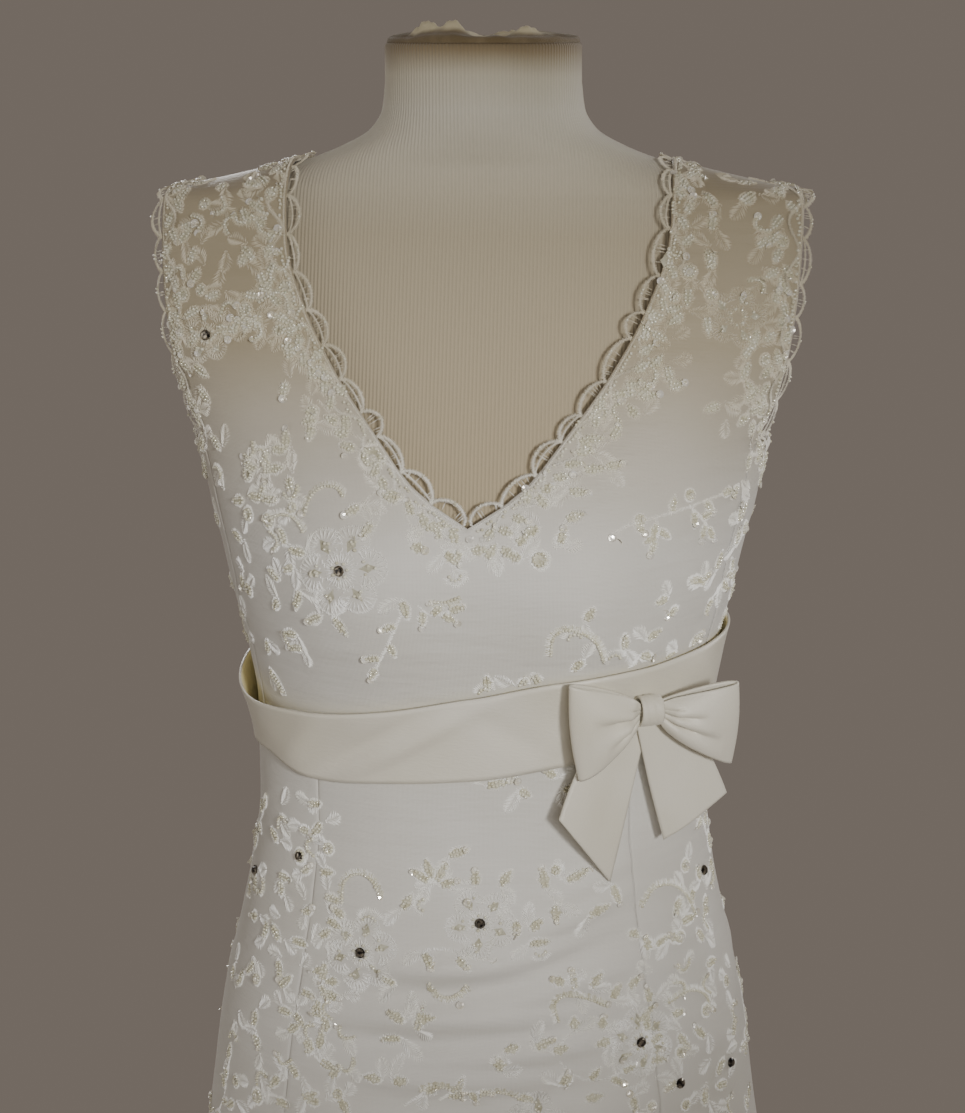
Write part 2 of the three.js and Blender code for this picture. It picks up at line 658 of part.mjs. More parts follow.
// The skirt's seven gores
function addSkirt() {
  const heights = [HEM_Z, ...SKIRT_ROWS, WAIST_SEAM_Z - SEAM_GAP / 2];
  for (const gore of SKIRT_SEAMS) {
    const rows = heights.map((z) => {
      const gap = (SEAM_GAP * 0.6) / dress.halfWidth(z) / RADIANS;
      const from = gore.from + gap;
      const to = gore.to - gap;
      return Array.from({ length: gore.columns + 1 }, (_, i) =>
        sample(dress.at, mix(from, to, i / gore.columns), z, 0.02, 0.5),
      );
    });
    add(gore.name, wall(gridSheet(rows), 0, CLOTH), "dress");
  }
}

// A point of the sash's inside: up runs from its lower edge to its upper edge
function sashPoint(angle, up) {
  const turn = turnBetween(angle, 0);
  const z = mix(read(SASH, "angle", "bottom", turn), read(SASH, "angle", "top", turn), up);
  const gape = read(SASH, "angle", "gape", turn) * Math.max(0, up) ** 1.6;
  const under = sample(dress.at, angle, z, 0.05, 0.5);
  return under.point.addScaledVector(under.normal, CLOTH + SASH_LIFT + gape);
}

// The sash, in two lengths that meet behind the bow and at the centre back
function addSash() {
  const lengths = [
    { name: "sash_front", from: -180, to: BOW_ANGLE },
    { name: "sash_side", from: BOW_ANGLE, to: 180 },
  ];
  for (const length of lengths) {
    const gap = 0.12;
    const columns = Math.round((SASH_COLUMNS * (length.to - length.from)) / 360);
    const rows = [0, 0.33, 0.67, 1].map((up) =>
      Array.from({ length: columns + 1 }, (_, i) =>
        sample(sashPoint, mix(length.from + gap, length.to - gap, i / columns), up, 0.05, 0.01),
      ),
    );
    add(length.name, wall(gridSheet(rows), 0, SASH_CLOTH), "satin");
  }
}

// Places a point of the bow's own frame on the dress
function bowFrame() {
  const seat = sample(sashPoint, BOW_ANGLE, BOW_HEIGHT_SHARE, 0.05, 0.01);
  const origin = seat.point.addScaledVector(seat.normal, SASH_CLOTH + BOW_STAND_OFF);
  const along = new THREE.Vector3(Math.cos(BOW_YAW * RADIANS), Math.sin(BOW_YAW * RADIANS), 0);
  const level = new THREE.Vector3(along.y, -along.x, 0);
  const up = new THREE.Vector3(0, 0, 1).applyAxisAngle(along, BOW_TILT * RADIANS);
  const out = level.applyAxisAngle(along, BOW_TILT * RADIANS);
  return (u, v, w) =>
    origin.clone().addScaledVector(along, u).addScaledVector(up, v).addScaledVector(out, w);
}

// One loop: a band of ribbon out to the fold and back, gathered at the knot
function bowLoop(put, loop) {
  const place = (path, across) => {
    const reach = mix(loop.reachBottom, loop.reachTop, across);
    const u = LOOP_NECK.start + (reach - LOOP_NECK.start) * Math.sin(Math.PI * path) ** 0.75;
    const open = Math.max(0, (u - KNOT.halfWidth) / (reach - KNOT.halfWidth)) ** LOOP_OPENING;
    const top = mix(LOOP_NECK.half, loop.top, open);
    const bottom = -mix(LOOP_NECK.half, loop.bottom, open);
    const pleat = 1.3 * (1 - open) * Math.cos(2 * Math.PI * across * 1.5) * Math.sin(Math.PI * path);
    const half = mix(LOOP_NECK.halfDepth, LOOP_NECK.fullDepth, Math.sin(Math.PI * path));
    const w = LOOP_NECK.middle + loop.rise * open + half * Math.cos(Math.PI * path) + pleat;
    return put(loop.side * u, mix(bottom, top, across), w);
  };
  const acrossSteps = 5;
  const sense = loop.side;
  const turned = (p, q) => place(Math.min(1, Math.max(0, sense * p)), q);
  const at = (share, j) => {
    const path = Math.min(0.999, Math.max(0.001, sense < 0 ? 1 - share : share));
    return sample(turned, sense * path, j / acrossSteps, 0.001, 0.01);
  };
  return gridSheet(
    Array.from({ length: acrossSteps + 1 }, (_, j) => LOOP_PATH.map((share) => at(share, j))),
  );
}

function addBow() {
  const put = bowFrame();
  for (const loop of LOOPS) add(loop.name, wall(bowLoop(put, loop), 0, BOW_CLOTH), "satin");

  const steps = 14;
  const knotPoint = (u, turn) =>
    put(
      u,
      (KNOT.halfHeight - BOW_CLOTH) * Math.sin(turn),
      KNOT.depth / 2 + (KNOT.depth / 2 - BOW_CLOTH) * Math.cos(turn),
    );
  const rings = Array.from({ length: steps }, (_, j) =>
    [-KNOT.halfWidth, -KNOT.halfWidth * 0.4, KNOT.halfWidth * 0.4, KNOT.halfWidth].map((u) =>
      sample(knotPoint, u, (2 * Math.PI * j) / steps, 0.1, 0.01),
    ),
  );
  const knot = newSheet();
  const lines = rings.map((ring) => addRow(knot, ring));
  lines.forEach((line, j) => addStrip(knot, line, lines[(j + 1) % steps]));
  add("bow_knot", wall(knot, 0, BOW_CLOTH), "satin");

  for (const tail of TAILS) {
    const place = (across, down) => {
      const end = { u: mix(tail.to[0].u, tail.to[1].u, across), v: mix(tail.to[0].v, tail.to[1].v, across) };
      const spread = down ** mix(tail.opening[0], tail.opening[1], across);
      const u = mix(mix(tail.from[0], tail.from[1], across), end.u, spread);
      const v = mix(TAIL_START.v, end.v, down);
      const curl = 1.8 * Math.sin(Math.PI * across) * down;
      return put(u, v, mix(TAIL_START.w, tail.out, down ** TAIL_LIFT) + curl);
    };
    const rising = (across, up) => place(across, -up);
    const rows = [1, 0.75, 0.5, 0.28, 0.1, 0].map((down) =>
      [0, 0.25, 0.5, 0.75, 1].map((across) => sample(rising, across, -down, 0.01, 0.01, 0)),
    );
    add(tail.name, wall(gridSheet(rows), 0, BOW_CLOTH), "satin");
  }
}

// Samples along a curve, at the same shares of each pitch and ending with one more foot, and with the
// direction that points off the panel
function alongEdge(curve, towards, pitch, shares) {
  const fine = Array.from({ length: 241 }, (_, i) => curve(i / 240));
  const lengths = [0];
  for (let i = 1; i < fine.length; i += 1) {
    lengths.push(lengths[i - 1] + fine[i].point.distanceTo(fine[i - 1].point));
  }
  const total = lengths[lengths.length - 1];
  const count = Math.round(total / pitch);
  const places = Array.from({ length: count }, (_, k) => shares.map((share) => k + share)).flat();
  const last = count + shares[1];
  return [...places, count, last].map((place) => {
    const goal = (total * place) / last;
    const i = Math.max(1, lengths.findIndex((l) => l >= goal - 1e-6));
    const share = (goal - lengths[i - 1]) / (lengths[i] - lengths[i - 1]);
    const point = fine[i - 1].point.clone().lerp(fine[i].point, share);
    const normal = fine[i - 1].normal.clone().lerp(fine[i].normal, share).normalize();
    const before = fine[Math.max(0, i - 5)].point;
    const along = fine[Math.min(240, i + 4)].point.clone().sub(before).normalize();
    const off = normal.clone().cross(along).normalize();
    if (off.dot(towards.clone().sub(point)) < 0) off.negate();
    return { point, normal, off, along };
  });
}

// A scalloped cord on a narrow band: the band lies on the panel's edge, and the loops stand off it on
// short feet, open inside
function scallops(curve, towards) {
  const shares = SCALLOP_PROFILE.map((row) => row.share);
  const stations = alongEdge(curve, towards, SCALLOP.pitch, shares);
  const sheet = newSheet();
  const raised = (height) =>
    addRow(
      sheet,
      stations.map((s, k) => ({
        point: s.point.clone().addScaledVector(s.off, height(SCALLOP_PROFILE[k % shares.length])),
        normal: s.normal,
      })),
    );
  const inner = raised(() => -SCALLOP.band);
  const outer = raised(() => 0.4);
  const crest = raised((row) => row.crest);
  const isFoot = (k) => k % shares.length < 2;
  const hole = outer.map((index, k) => {
    if (isFoot(k)) return index;
    const s = stations[k];
    const height = SCALLOP_PROFILE[k % shares.length].crest - SCALLOP.cord;
    return addRow(sheet, [{ point: s.point.clone().addScaledVector(s.off, height), normal: s.normal }])[0];
  });
  const flip = stations[1].normal.clone().cross(stations[1].off).dot(stations[1].along) > 0;
  const face = (a, b, c, d) => sheet.faces.push(flip ? [d, c, b, a] : [a, b, c, d]);
  for (let k = 0; k + 1 < stations.length; k += 1) {
    face(inner[k], inner[k + 1], outer[k + 1], outer[k]);
    face(hole[k], hole[k + 1], crest[k + 1], crest[k]);
  }
  return sheet;
}

// The curves that the lace follows, on the +X side
function laceCurves() {
  const frontNeck = (t) => strapSample(FRONT_STRAP, 0, mix(0.045, 0.985, t));
  const backNeck = (t) => strapSample(BACK_STRAP, 0, mix(0.06, 0.985, t));
  const cornerShare = shareAt(FRONT_STRAP, ARMHOLE_CORNER_Z);
  const frontPart = (t) => strapSample(FRONT_STRAP, 1, mix(0.985, cornerShare, t));
  const underPart = (t) => sample(sidePoint, t, 1, 0.01, 0.01);
  const backZ = (t) => mix(ARMHOLE_CORNER_Z, BACK_NECK_Z, t);
  const backLow = (t) => {
    const z = backZ(t);
    return sample((u, h) => dress.beside(-u, h, BACK), -BACK_STRAP.outer(z), z, 0.5, 0.5);
  };
  const backHigh = (t) => strapSample(BACK_STRAP, 1, mix(0, 0.985, t));
  const parts = [
    { until: 0.42, curve: frontPart },
    { until: 0.6, curve: underPart },
    { until: 0.77, curve: backLow },
    { until: 1, curve: backHigh },
  ];
  const armhole = (t) => {
    const i = parts.findIndex((part) => t <= part.until);
    const from = i === 0 ? 0 : parts[i - 1].until;
    return parts[i].curve((t - from) / (parts[i].until - from));
  };
  return { frontNeck, backNeck, armhole };
}

function addLaceEdges() {
  const curves = laceCurves();
  const neckCentre = new THREE.Vector3(0, 10, 1470);
  const frontOpening = new THREE.Vector3(0, -60, 1400);
  const armCentre = new THREE.Vector3(240, 20, 1385);
  const lift = CLOTH + LAID_ON;
  const pieces = [
    { name: "lace_neck_front", sheet: scallops(curves.frontNeck, frontOpening) },
    { name: "lace_neck_back", sheet: scallops(curves.backNeck, neckCentre) },
    { name: "lace_armhole", sheet: scallops(curves.armhole, armCentre) },
  ];
  for (const piece of pieces) {
    add(`${piece.name}_right`, wall(piece.sheet, lift, LACE_CLOTH), "lace");
    add(`${piece.name}_left`, wall(mirrored(piece.sheet), lift, LACE_CLOTH), "lace");
  }
}

// One flower of corded lace, made from the panel's points and moved out
function flowerSheet(flower) {
  const side = flower.back ? BACK : FRONT;
  const sense = flower.back ? -1 : 1;
  const place = (u, z) => dress.beside(sense * u, z, side);
  const steps = flower.petals * 3;
  const middle = sample(place, sense * flower.x, flower.z, 0.5, 0.5);
  const right = new THREE.Vector3(-middle.normal.y, middle.normal.x, 0).normalize();
  const stretch = Math.max(0.25, Math.abs(right.x));
  const ring = (share) =>
    Array.from({ length: steps }, (_, i) => {
      const turn = (360 * i) / steps + flower.turn;
      const petal = Math.cos(flower.petals * (turn - flower.turn) * RADIANS);
      const radius = flower.radius * share * (share < 1 ? 1 : 0.8 + 0.2 * petal);
      const u = sense * flower.x + radius * Math.cos(turn * RADIANS) * stretch;
      return sample(place, u, flower.z + radius * Math.sin(turn * RADIANS), 0.5, 0.5);
    });
  const sheet = newSheet();
  const [hub] = addRow(sheet, [middle]);
  const inner = addRow(sheet, ring(0.45));
  const outer = addRow(sheet, ring(1));
  inner.forEach((a, i) => {
    const j = (i + 1) % steps;
    sheet.faces.push([hub, a, inner[j]], [a, outer[i], outer[j], inner[j]]);
  });
  return sheet;
}

function addFlowers() {
  for (const flower of FLOWERS) {
    add(flower.name, wall(flowerSheet(flower), CLOTH + LAID_ON, LACE_CLOTH), "lace");
  }
}

function addButtons() {
  const { radius, height } = BUTTON;
  const profile = [
    [0, 0],
    [radius * 0.9, 0],
    [radius, height * 0.35],
    [radius * 0.72, height * 0.82],
    [0, height],
  ].map(([x, y]) => new THREE.Vector2(x, y));
  const dome = new THREE.LatheGeometry(profile, 8);
  const covered = { from: read(SASH, "angle", "bottom", 180) - radius, to: read(SASH, "angle", "top", 180) + radius };
  let number = 1;
  for (let z = BUTTON_ROW.first; z >= BUTTON_ROW.last; z -= BUTTON_ROW.step) {
    if (z > covered.from && z < covered.to) continue;
    const seat = sample(dress.at, 180, z, 0.5, 0.5);
    const button = add(`button_${String(number).padStart(2, "0")}`, dome, "satin");
    button.position.copy(seat.point.addScaledVector(seat.normal, CLOTH + BUTTON.lift));
    button.quaternion.setFromUnitVectors(new THREE.Vector3(0, 1, 0), seat.normal);
    number += 1;
  }
}

addForm();
addBodice();
addSkirt();
addSash();
addBow();
addLaceEdges();
addFlowers();
addButtons();

export default group;
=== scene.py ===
# A sleeveless V-neck wedding dress with beaded lace, a satin sash and a bow, worn by a limbless dress form.
# Lengths are millimetres and angles are degrees, until a mesh is made in metres.
import math

import bpy
import numpy as np
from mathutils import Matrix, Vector
from mathutils.bvhtree import BVHTree


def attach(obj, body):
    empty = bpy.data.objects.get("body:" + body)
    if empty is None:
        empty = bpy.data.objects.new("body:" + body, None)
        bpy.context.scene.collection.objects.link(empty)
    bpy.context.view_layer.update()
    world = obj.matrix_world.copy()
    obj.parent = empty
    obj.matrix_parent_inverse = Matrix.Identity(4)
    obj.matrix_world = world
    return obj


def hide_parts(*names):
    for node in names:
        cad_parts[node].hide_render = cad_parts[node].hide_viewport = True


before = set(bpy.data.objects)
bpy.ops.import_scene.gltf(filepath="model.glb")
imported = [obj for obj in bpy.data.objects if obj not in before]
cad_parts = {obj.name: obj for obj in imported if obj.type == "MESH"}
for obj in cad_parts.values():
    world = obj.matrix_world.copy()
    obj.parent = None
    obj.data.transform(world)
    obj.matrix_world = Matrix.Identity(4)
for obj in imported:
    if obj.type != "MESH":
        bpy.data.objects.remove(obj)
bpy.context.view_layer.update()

MM = 0.001
FRONT = -1
BACK = 1
rng = np.random.default_rng(11)

# The camera, worked out from the photograph
PHOTO_SIZE = (965, 1113)
FOCAL_PIXELS = 2232
CAMERA_DISTANCE = 1340
CAMERA_HEIGHT = 1543
CAMERA_AZIMUTH = 4
CAMERA_PITCH = 13.2
SENSOR = 36

# Sizes of the dress and the form, as in the model
HEM_Z = 12
WAIST_SEAM_Z = 1140
V_POINT_Z = 1272
BACK_NECK_Z = 1390
UNDERARM_Z = 1296
ARMHOLE_CORNER_Z = 1315
SIDE_FRONT_SHARE = 0.93
SIDE_BACK_SHARE = 0.86
CLOTH = 1.8
SASH_CLOTH = 1.6
SASH_LIFT = 1.2
BOW_CLOTH = 1.5
NECK_TOP_Z = 1540

# Seams as they are drawn here, closer than in the model: the gap, and the groove's depth and width
SEAM_GAP = 0.04
SEAM_GROOVE = (0.55, 1.8)
# Heights between which the painted shade of the upper bodice sets in, darker and warmer towards the shoulders
SHOULDER_SHADE = (1255, 1370)

# Sections of the form and of the dress: z, half width, front, back, centre, square
FORM_SECTIONS = [
    (800, 159, 100, 112, 0, 2.2), (870, 167, 112, 126, 0, 2.2), (941, 159, 107, 119, 0, 2.2),
    (1003, 145, 100, 108, 0, 2.2), (1083, 131, 92, 91, 0, 2.2), (1140, 132, 94, 90, 0, 2.2),
    (1177, 137, 98, 94, 0, 2.2), (1212, 146, 102, 98, 0, 2.2), (1240, 152, 105, 102, 0, 2.2),
    (1270, 157, 105, 105, 1, 2.25), (1300, 162, 101, 107, 3, 2.3), (1350, 170, 86, 104, 7, 2.4),
    (1400, 177, 68, 93, 10, 2.5), (1430, 181, 56, 79, 12, 2.5), (1446, 175, 49, 68, 13, 2.4),
    (1453.6, 165, 46, 60, 13, 2.3), (1459, 143, 46, 58, 13, 2.2), (1466.2, 116, 46, 56, 13, 2.2),
    (1477.5, 85, 50, 54, 12, 2.1), (1488, 67, 54, 55, 11, 2), (1500, 60, 56, 57, 10, 2),
    (1520, 58, 56, 57, 8, 2), (1540, 58, 56, 57, 7, 2),
]
DRESS_SECTIONS = [
    (12, 402, 372, 412, 0, 2.05), (100, 380, 348, 386, 0, 2.05), (300, 322, 286, 318, 0, 2.1),
    (500, 262, 224, 252, 0, 2.1), (700, 209, 166, 188, 0, 2.15), (800, 187, 139, 156, 0, 2.2),
    (870, 175, 124, 140, 0, 2.2), (941, 165, 114, 128, 0, 2.2), (1003, 151, 107, 116, 0, 2.2),
    (1037, 144, 103, 108, 0, 2.2), (1083, 138, 99, 99, 0, 2.2), (1140, 138, 100, 97, 0, 2.2),
    (1177, 143, 103, 100, 0, 2.2), (1212, 151, 107, 103, 0, 2.2), (1240, 157, 109, 107, 0, 2.2),
    (1270, 164, 109, 110, 1, 2.25), (1300, 171, 105, 112, 3, 2.35), (1335, 183, 96, 111, 6, 2.6),
    (1369, 194, 84, 106, 8, 2.9), (1400, 200, 73, 98, 10, 3), (1430, 203, 60, 83, 12, 2.9),
    (1447, 199, 52, 71, 13, 2.7), (1451, 190, 50, 67, 13, 2.6), (1455, 167, 49, 64, 13, 2.5),
    (1460, 144, 49, 61, 13, 2.4), (1467.2, 117, 49, 59, 13, 2.3), (1478.5, 87, 53, 57, 12, 2.2),
]
# The bust: x, z, how far forward, spread across and spread upright
FORM_BUST = (80, 1232, 24, 46, 46)
DRESS_BUST = (78, 1232, 25, 50, 47)
# The skirt's flutes: angle, half width, depth, top
FLUTES = [
    (4, 13, 26, 700), (34, 12, 34, 780), (60, 11, 28, 660), (86, 13, 37, 740), (114, 12, 30, 690),
    (141, 12, 38, 800), (168, 11, 30, 720), (194, 12, 35, 790), (222, 13, 29, 680),
    (249, 11, 36, 760), (275, 12, 31, 700), (303, 13, 35, 750), (333, 12, 27, 670),
]
# The bodice's edges on the +X side: z, x
FRONT_NECKLINE = [(1272, 0), (1291, 29), (1321, 54), (1355, 79), (1390, 98), (1425, 110)]
FRONT_NECKLINE += [(1452, 112), (1480, 112)]
BACK_NECKLINE = [(1390, 0), (1395, 34), (1408, 66), (1430, 92), (1452, 109), (1480, 112)]
FRONT_ARMHOLE = [(1335, 173), (1369, 181), (1412, 186), (1450, 188), (1480, 188)]
BACK_ARMHOLE = [(1335, 163), (1369, 175), (1412, 184), (1450, 188), (1480, 188)]
# The sash: angle, bottom, top, gape
SASH = [
    (-180, 1120, 1177, 0.6), (-120, 1116, 1172, 1.5), (-90, 1117, 1163, 5), (-62, 1119, 1155, 9),
    (-42, 1111, 1157, 6), (-18, 1115, 1164, 3.5), (0, 1119, 1173, 2.5), (18, 1127, 1184, 1.5),
    (40, 1134, 1189, 1.2), (90, 1138, 1194, 1.2), (180, 1120, 1177, 0.6),
]
# The skirt's gores: name, from, to, columns
GORES = [
    ("skirt_front", -40, 40, 96),
    ("skirt_side_front_right", 40, 90, 54),
    ("skirt_side_back_right", 90, 135, 46),
    ("skirt_back_right", 135, 180, 46),
    ("skirt_back_left", 180, 225, 46),
    ("skirt_side_back_left", 225, 270, 46),
    ("skirt_side_front_left", 270, 320, 54),
]
# Soft creases in the cloth: angle and height of the middle, half length, half width, tilt and rise
CREASES = [
    (26, 1052, 34, 7, 24, 3.4), (20, 1032, 44, 7, 20, 4.7), (22, 1012, 42, 7, 19, -2.5),
    (10, 1010, 56, 7, 14, 4.3), (16, 990, 50, 7, 13, 5.0), (0, 988, 52, 7, 6, -2.6),
    (-8, 1003, 46, 7, 3, 4.0), (-2, 972, 62, 7, 4, 5.6), (-12, 955, 48, 7, -3, -2.5),
    (6, 951, 66, 7, 7, 5.3), (-6, 934, 60, 7, 2, 4.8), (14, 926, 50, 7, 9, -2.3),
    (12, 908, 66, 8, 6, 5.0), (-14, 900, 52, 8, -4, 4.3), (-4, 872, 84, 10, -2, 4.0),
    (14, 846, 70, 11, 4, 2.9), (-20, 836, 55, 10, -6, 2.6), (-52, 1000, 34, 8, 18, 1.3),
    (-56, 945, 40, 9, 12, 1.5), (52, 1015, 36, 8, -20, 1.3), (58, 940, 44, 9, -14, 1.7),
    (95, 985, 46, 9, 10, 1.4), (128, 1010, 40, 8, -12, 1.5), (176, 1060, 56, 8, 4, 1.6),
    (186, 1032, 66, 9, -5, 2.0), (172, 1000, 60, 9, 3, 1.7), (205, 960, 54, 10, 8, 1.8),
    (236, 1005, 44, 9, -10, 1.5), (262, 960, 48, 9, 8, 1.5), (-30, 1196, 34, 6, 24, 0.8),
    (34, 1200, 36, 6, -20, 0.8), (70, 1215, 26, 6, 50, 0.9), (-72, 1222, 28, 6, -46, 1.0),
    (80, 1262, 24, 6, 38, 0.8), (150, 1230, 40, 8, 20, 1.0), (212, 1250, 44, 8, -18, 1.1),
]
# The bow, in its own frame
BOW_ANGLE = 41
BOW_HEIGHT_SHARE = 0.56
BOW_STAND_OFF = 1.5
BOW_YAW = 26
BOW_TILT = 9
KNOT_HALF_WIDTH = 6.5
KNOT_HALF_HEIGHT = 9.5
KNOT_DEPTH = 15.5
# The loops: name, side, top, bottom, reach at the top, reach at the bottom, rise
LOOPS = [
    ("bow_loop_left", -1, 23, 38, 52, 41, 3),
    ("bow_loop_right", 1, 14, 38, 53, 54, 5),
]
LOOP_NECK = 4.1
LOOP_START = 2
LOOP_MIDDLE = 7.75
LOOP_HALF_DEPTH = (0.9, 5.6)
LOOP_OPENING = 0.65
LOOP_PUFF = 7.2
LOOP_BULGE = 2.2
LOOP_PLEAT = 1.3
# The tails: name, start across, first and last corner, opening of the edges, how far out, rise over the other
TAILS = [
    ("bow_tail_left", (-8, 3.2), (-53.5, -62), (-17.5, -108), (0.46, 1.15), 11, 0),
    ("bow_tail_right", (-6, 8), (17.2, -86), (56, -60), (1, 0.42), 9, 3.2),
]
# The soft folds of a loop's front: place across, how far they run, depth and width
LOOP_FOLDS = {
    -1: [(0.57, 0.8, 9.5, 0.1), (0.2, 0.6, 5.0, 0.07), (0.86, 0.3, 3.0, 0.045)],
    1: [(0.62, 0.6, 7.5, 0.085), (0.3, 0.8, 8.5, 0.085), (0.86, 0.3, 3.0, 0.04)],
}
# How steep a fold is above and below its bottom
FOLD_LIP = 0.5
FOLD_FOOT = 1.35
TAIL_START = (-8, 0.3)
TAIL_LIFT = 1.35
TAIL_CURLS = (2.6, 1.3)


class Curve:
    """A smooth curve through a table's rows, which never overshoots them."""

    def __init__(self, keys, values):
        self.keys = np.array(keys, float)
        self.values = np.array(values, float)
        self.step = np.diff(self.keys)
        slope = np.diff(self.values) / self.step
        before, after = slope[:-1], slope[1:]
        same = before * after > 0
        total = np.where(same, before + after, 1)
        middle = np.where(same, 2 * before * after / total, 0)
        self.tangent = np.concatenate([slope[:1], middle, slope[-1:]])

    def __call__(self, at):
        at = np.clip(at, self.keys[0], self.keys[-1])
        i = np.clip(np.searchsorted(self.keys, at, side="right") - 1, 0, len(self.step) - 1)
        width = self.step[i]
        t = (at - self.keys[i]) / width
        start = self.values[i] * (1 + 2 * t) + self.tangent[i] * width * t
        end = self.values[i + 1] * (3 - 2 * t) + self.tangent[i + 1] * width * (t - 1)
        return start * (1 - t) ** 2 + end * t**2


def turn_between(a, b):
    return (a - b + 540) % 360 - 180


class Body:
    """The surface of the form or of the dress, from its sections, bust, flutes and creases."""

    def __init__(self, sections, bust, flutes=(), creases=(), seams=()):
        rows = np.array(sections, float)
        self.half, self.front, self.back, self.centre, self.square = (
            Curve(rows[:, 0], rows[:, k]) for k in range(1, 6)
        )
        self.bust = bust
        self.flutes = flutes
        self.creases = creases
        self.seams = seams
        heights = np.linspace(1430, rows[-1, 0], 4000)
        self.ridge_x = self.half(heights)[::-1]
        self.ridge_z = heights[::-1]

    def swell(self, x, z):
        bust_x, bust_z, forward, across, upright = self.bust
        humps = sum(np.exp(-((x - side * bust_x) ** 2) / (2 * across**2)) for side in (-1, 1))
        level = np.exp(-((z - bust_z) ** 2) / (2 * upright**2))
        return forward * level * np.minimum(1, humps)

    def fold(self, angle, z):
        """How far the flutes and creases push the cloth out."""
        out = np.zeros(np.broadcast(angle, z).shape)
        for middle, half, depth, top in self.flutes:
            off = np.abs(turn_between(angle, middle)) / half
            ramp = np.clip((top - z) / (top - HEM_Z), 0, None) ** 1.3
            out += np.where(off < 1, depth * ramp * 0.5 * (1 + np.cos(math.pi * np.minimum(off, 1))), 0)
        deep, wide = SEAM_GROOVE
        for seam in self.seams:
            off = np.radians(turn_between(angle, seam)) * self.half(z) / wide
            out -= deep * np.exp(-(off**2)) * np.clip((WAIST_SEAM_Z - z) / 4, 0, 1)
        for middle, height, length, width, tilt, rise in self.creases:
            across = np.radians(turn_between(angle, middle)) * self.half(height) * 0.85
            up = z - height
            c, s = math.cos(math.radians(tilt)), math.sin(math.radians(tilt))
            along = (across * c + up * s) / length
            beside = (up * c - across * s) / width
            out += rise * np.exp(-(along**2) * 1.6 - beside**2)
        return out

    def at(self, angle, z):
        angle, z = np.broadcast_arrays(np.asarray(angle, float), np.asarray(z, float))
        square = self.square(z)
        sine, cosine = np.sin(np.radians(angle)), np.cos(np.radians(angle))
        x = self.half(z) * np.sign(sine) * np.abs(sine) ** (2 / square)
        depth = np.where(cosine > 0, self.front(z) + self.swell(x, z), self.back(z))
        y = -depth * np.sign(cosine) * np.abs(cosine) ** (2 / square)
        reach = np.maximum(np.hypot(x, y), 1e-6)
        grow = 1 + self.fold(angle, z) / reach
        return np.stack([x * grow, self.centre(z) + y * grow, z], -1)

    def normal(self, angle, z):
        across = self.at(angle + 0.05, z) - self.at(angle - 0.05, z)
        rise = self.at(angle, z + 0.5) - self.at(angle, z - 0.5)
        return unit(np.cross(across, rise))

    def beside(self, x, z, side):
        x, z = np.broadcast_arrays(np.asarray(x, float), np.asarray(z, float))
        across = np.minimum(1, np.abs(x) / self.half(z))
        angle = np.degrees(np.arcsin(across ** (self.square(z) / 2))) * np.sign(x)
        return self.at(angle if side == FRONT else 180 - angle, z)

    def ridge(self, x):
        return np.interp(np.abs(x), self.ridge_x, self.ridge_z)

    def angle_of(self, share, z):
        return np.degrees(np.arcsin(share ** (self.square(z) / 2)))


form = Body(FORM_SECTIONS, FORM_BUST)
dress = Body(DRESS_SECTIONS, DRESS_BUST, FLUTES, CREASES, [row[1] for row in GORES])
under_sash = Body(DRESS_SECTIONS, DRESS_BUST, FLUTES, CREASES)


def unit(v):
    return v / np.maximum(np.linalg.norm(v, axis=-1, keepdims=True), 1e-12)


def towards_turn(turn):
    return np.array([math.cos(turn), math.sin(turn)])


def mix(a, b, share):
    return a + (b - a) * share


class Sheet:
    """Points and the four-sided faces between them, anticlockwise seen from outside."""

    def __init__(self):
        self.blocks = []
        self.count = 0
        self.quads = []

    def add(self, points):
        points = np.asarray(points, float)
        self.blocks.append(points.reshape(-1, 3))
        index = np.arange(self.count, self.count + points.size // 3).reshape(points.shape[:-1])
        self.count += points.size // 3
        return index

    def strip(self, lower, upper):
        self.quads.append(np.stack([lower[:-1], lower[1:], upper[1:], upper[:-1]], -1))

    def grid(self, index):
        for lower, upper in zip(index[:-1], index[1:]):
            self.strip(lower, upper)

    def tube(self, index):
        """Joins a stack of closed rings."""
        self.grid(np.concatenate([index, index[:, :1]], axis=1))

    def points(self):
        return np.concatenate(self.blocks)

    def faces(self):
        return np.concatenate(self.quads)


def grid_sheet(points):
    sheet = Sheet()
    sheet.grid(sheet.add(points))
    return sheet


def capped(sheet, index):
    """The sheet's faces, with flat ends on its stack of rings."""
    return [*sheet.faces(), list(index[0][::-1]), list(index[-1])]


def vertex_normals(points, faces):
    a, b, c, d = (points[faces[:, k]] for k in range(4))
    cross = np.cross(c - a, d - b)
    normals = np.zeros_like(points)
    for k in range(4):
        np.add.at(normals, faces[:, k], cross)
    return unit(normals)


def mesh_object(name, points, faces, material, smooth=True):
    mesh = bpy.data.meshes.new(name)
    mesh.from_pydata((points * MM).tolist(), [], [list(face) for face in faces])
    mesh.materials.append(material)
    mesh.polygons.foreach_set("use_smooth", [smooth] * len(mesh.polygons))
    mesh.update()
    obj = bpy.data.objects.new(name, mesh)
    bpy.context.scene.collection.objects.link(obj)
    return obj


def point_values(obj, name, values):
    """Keeps one number for each point, for the material to read."""
    attribute = obj.data.attributes.new(name, "FLOAT", "POINT")
    attribute.data.foreach_set("value", values.ravel().astype(np.float32))


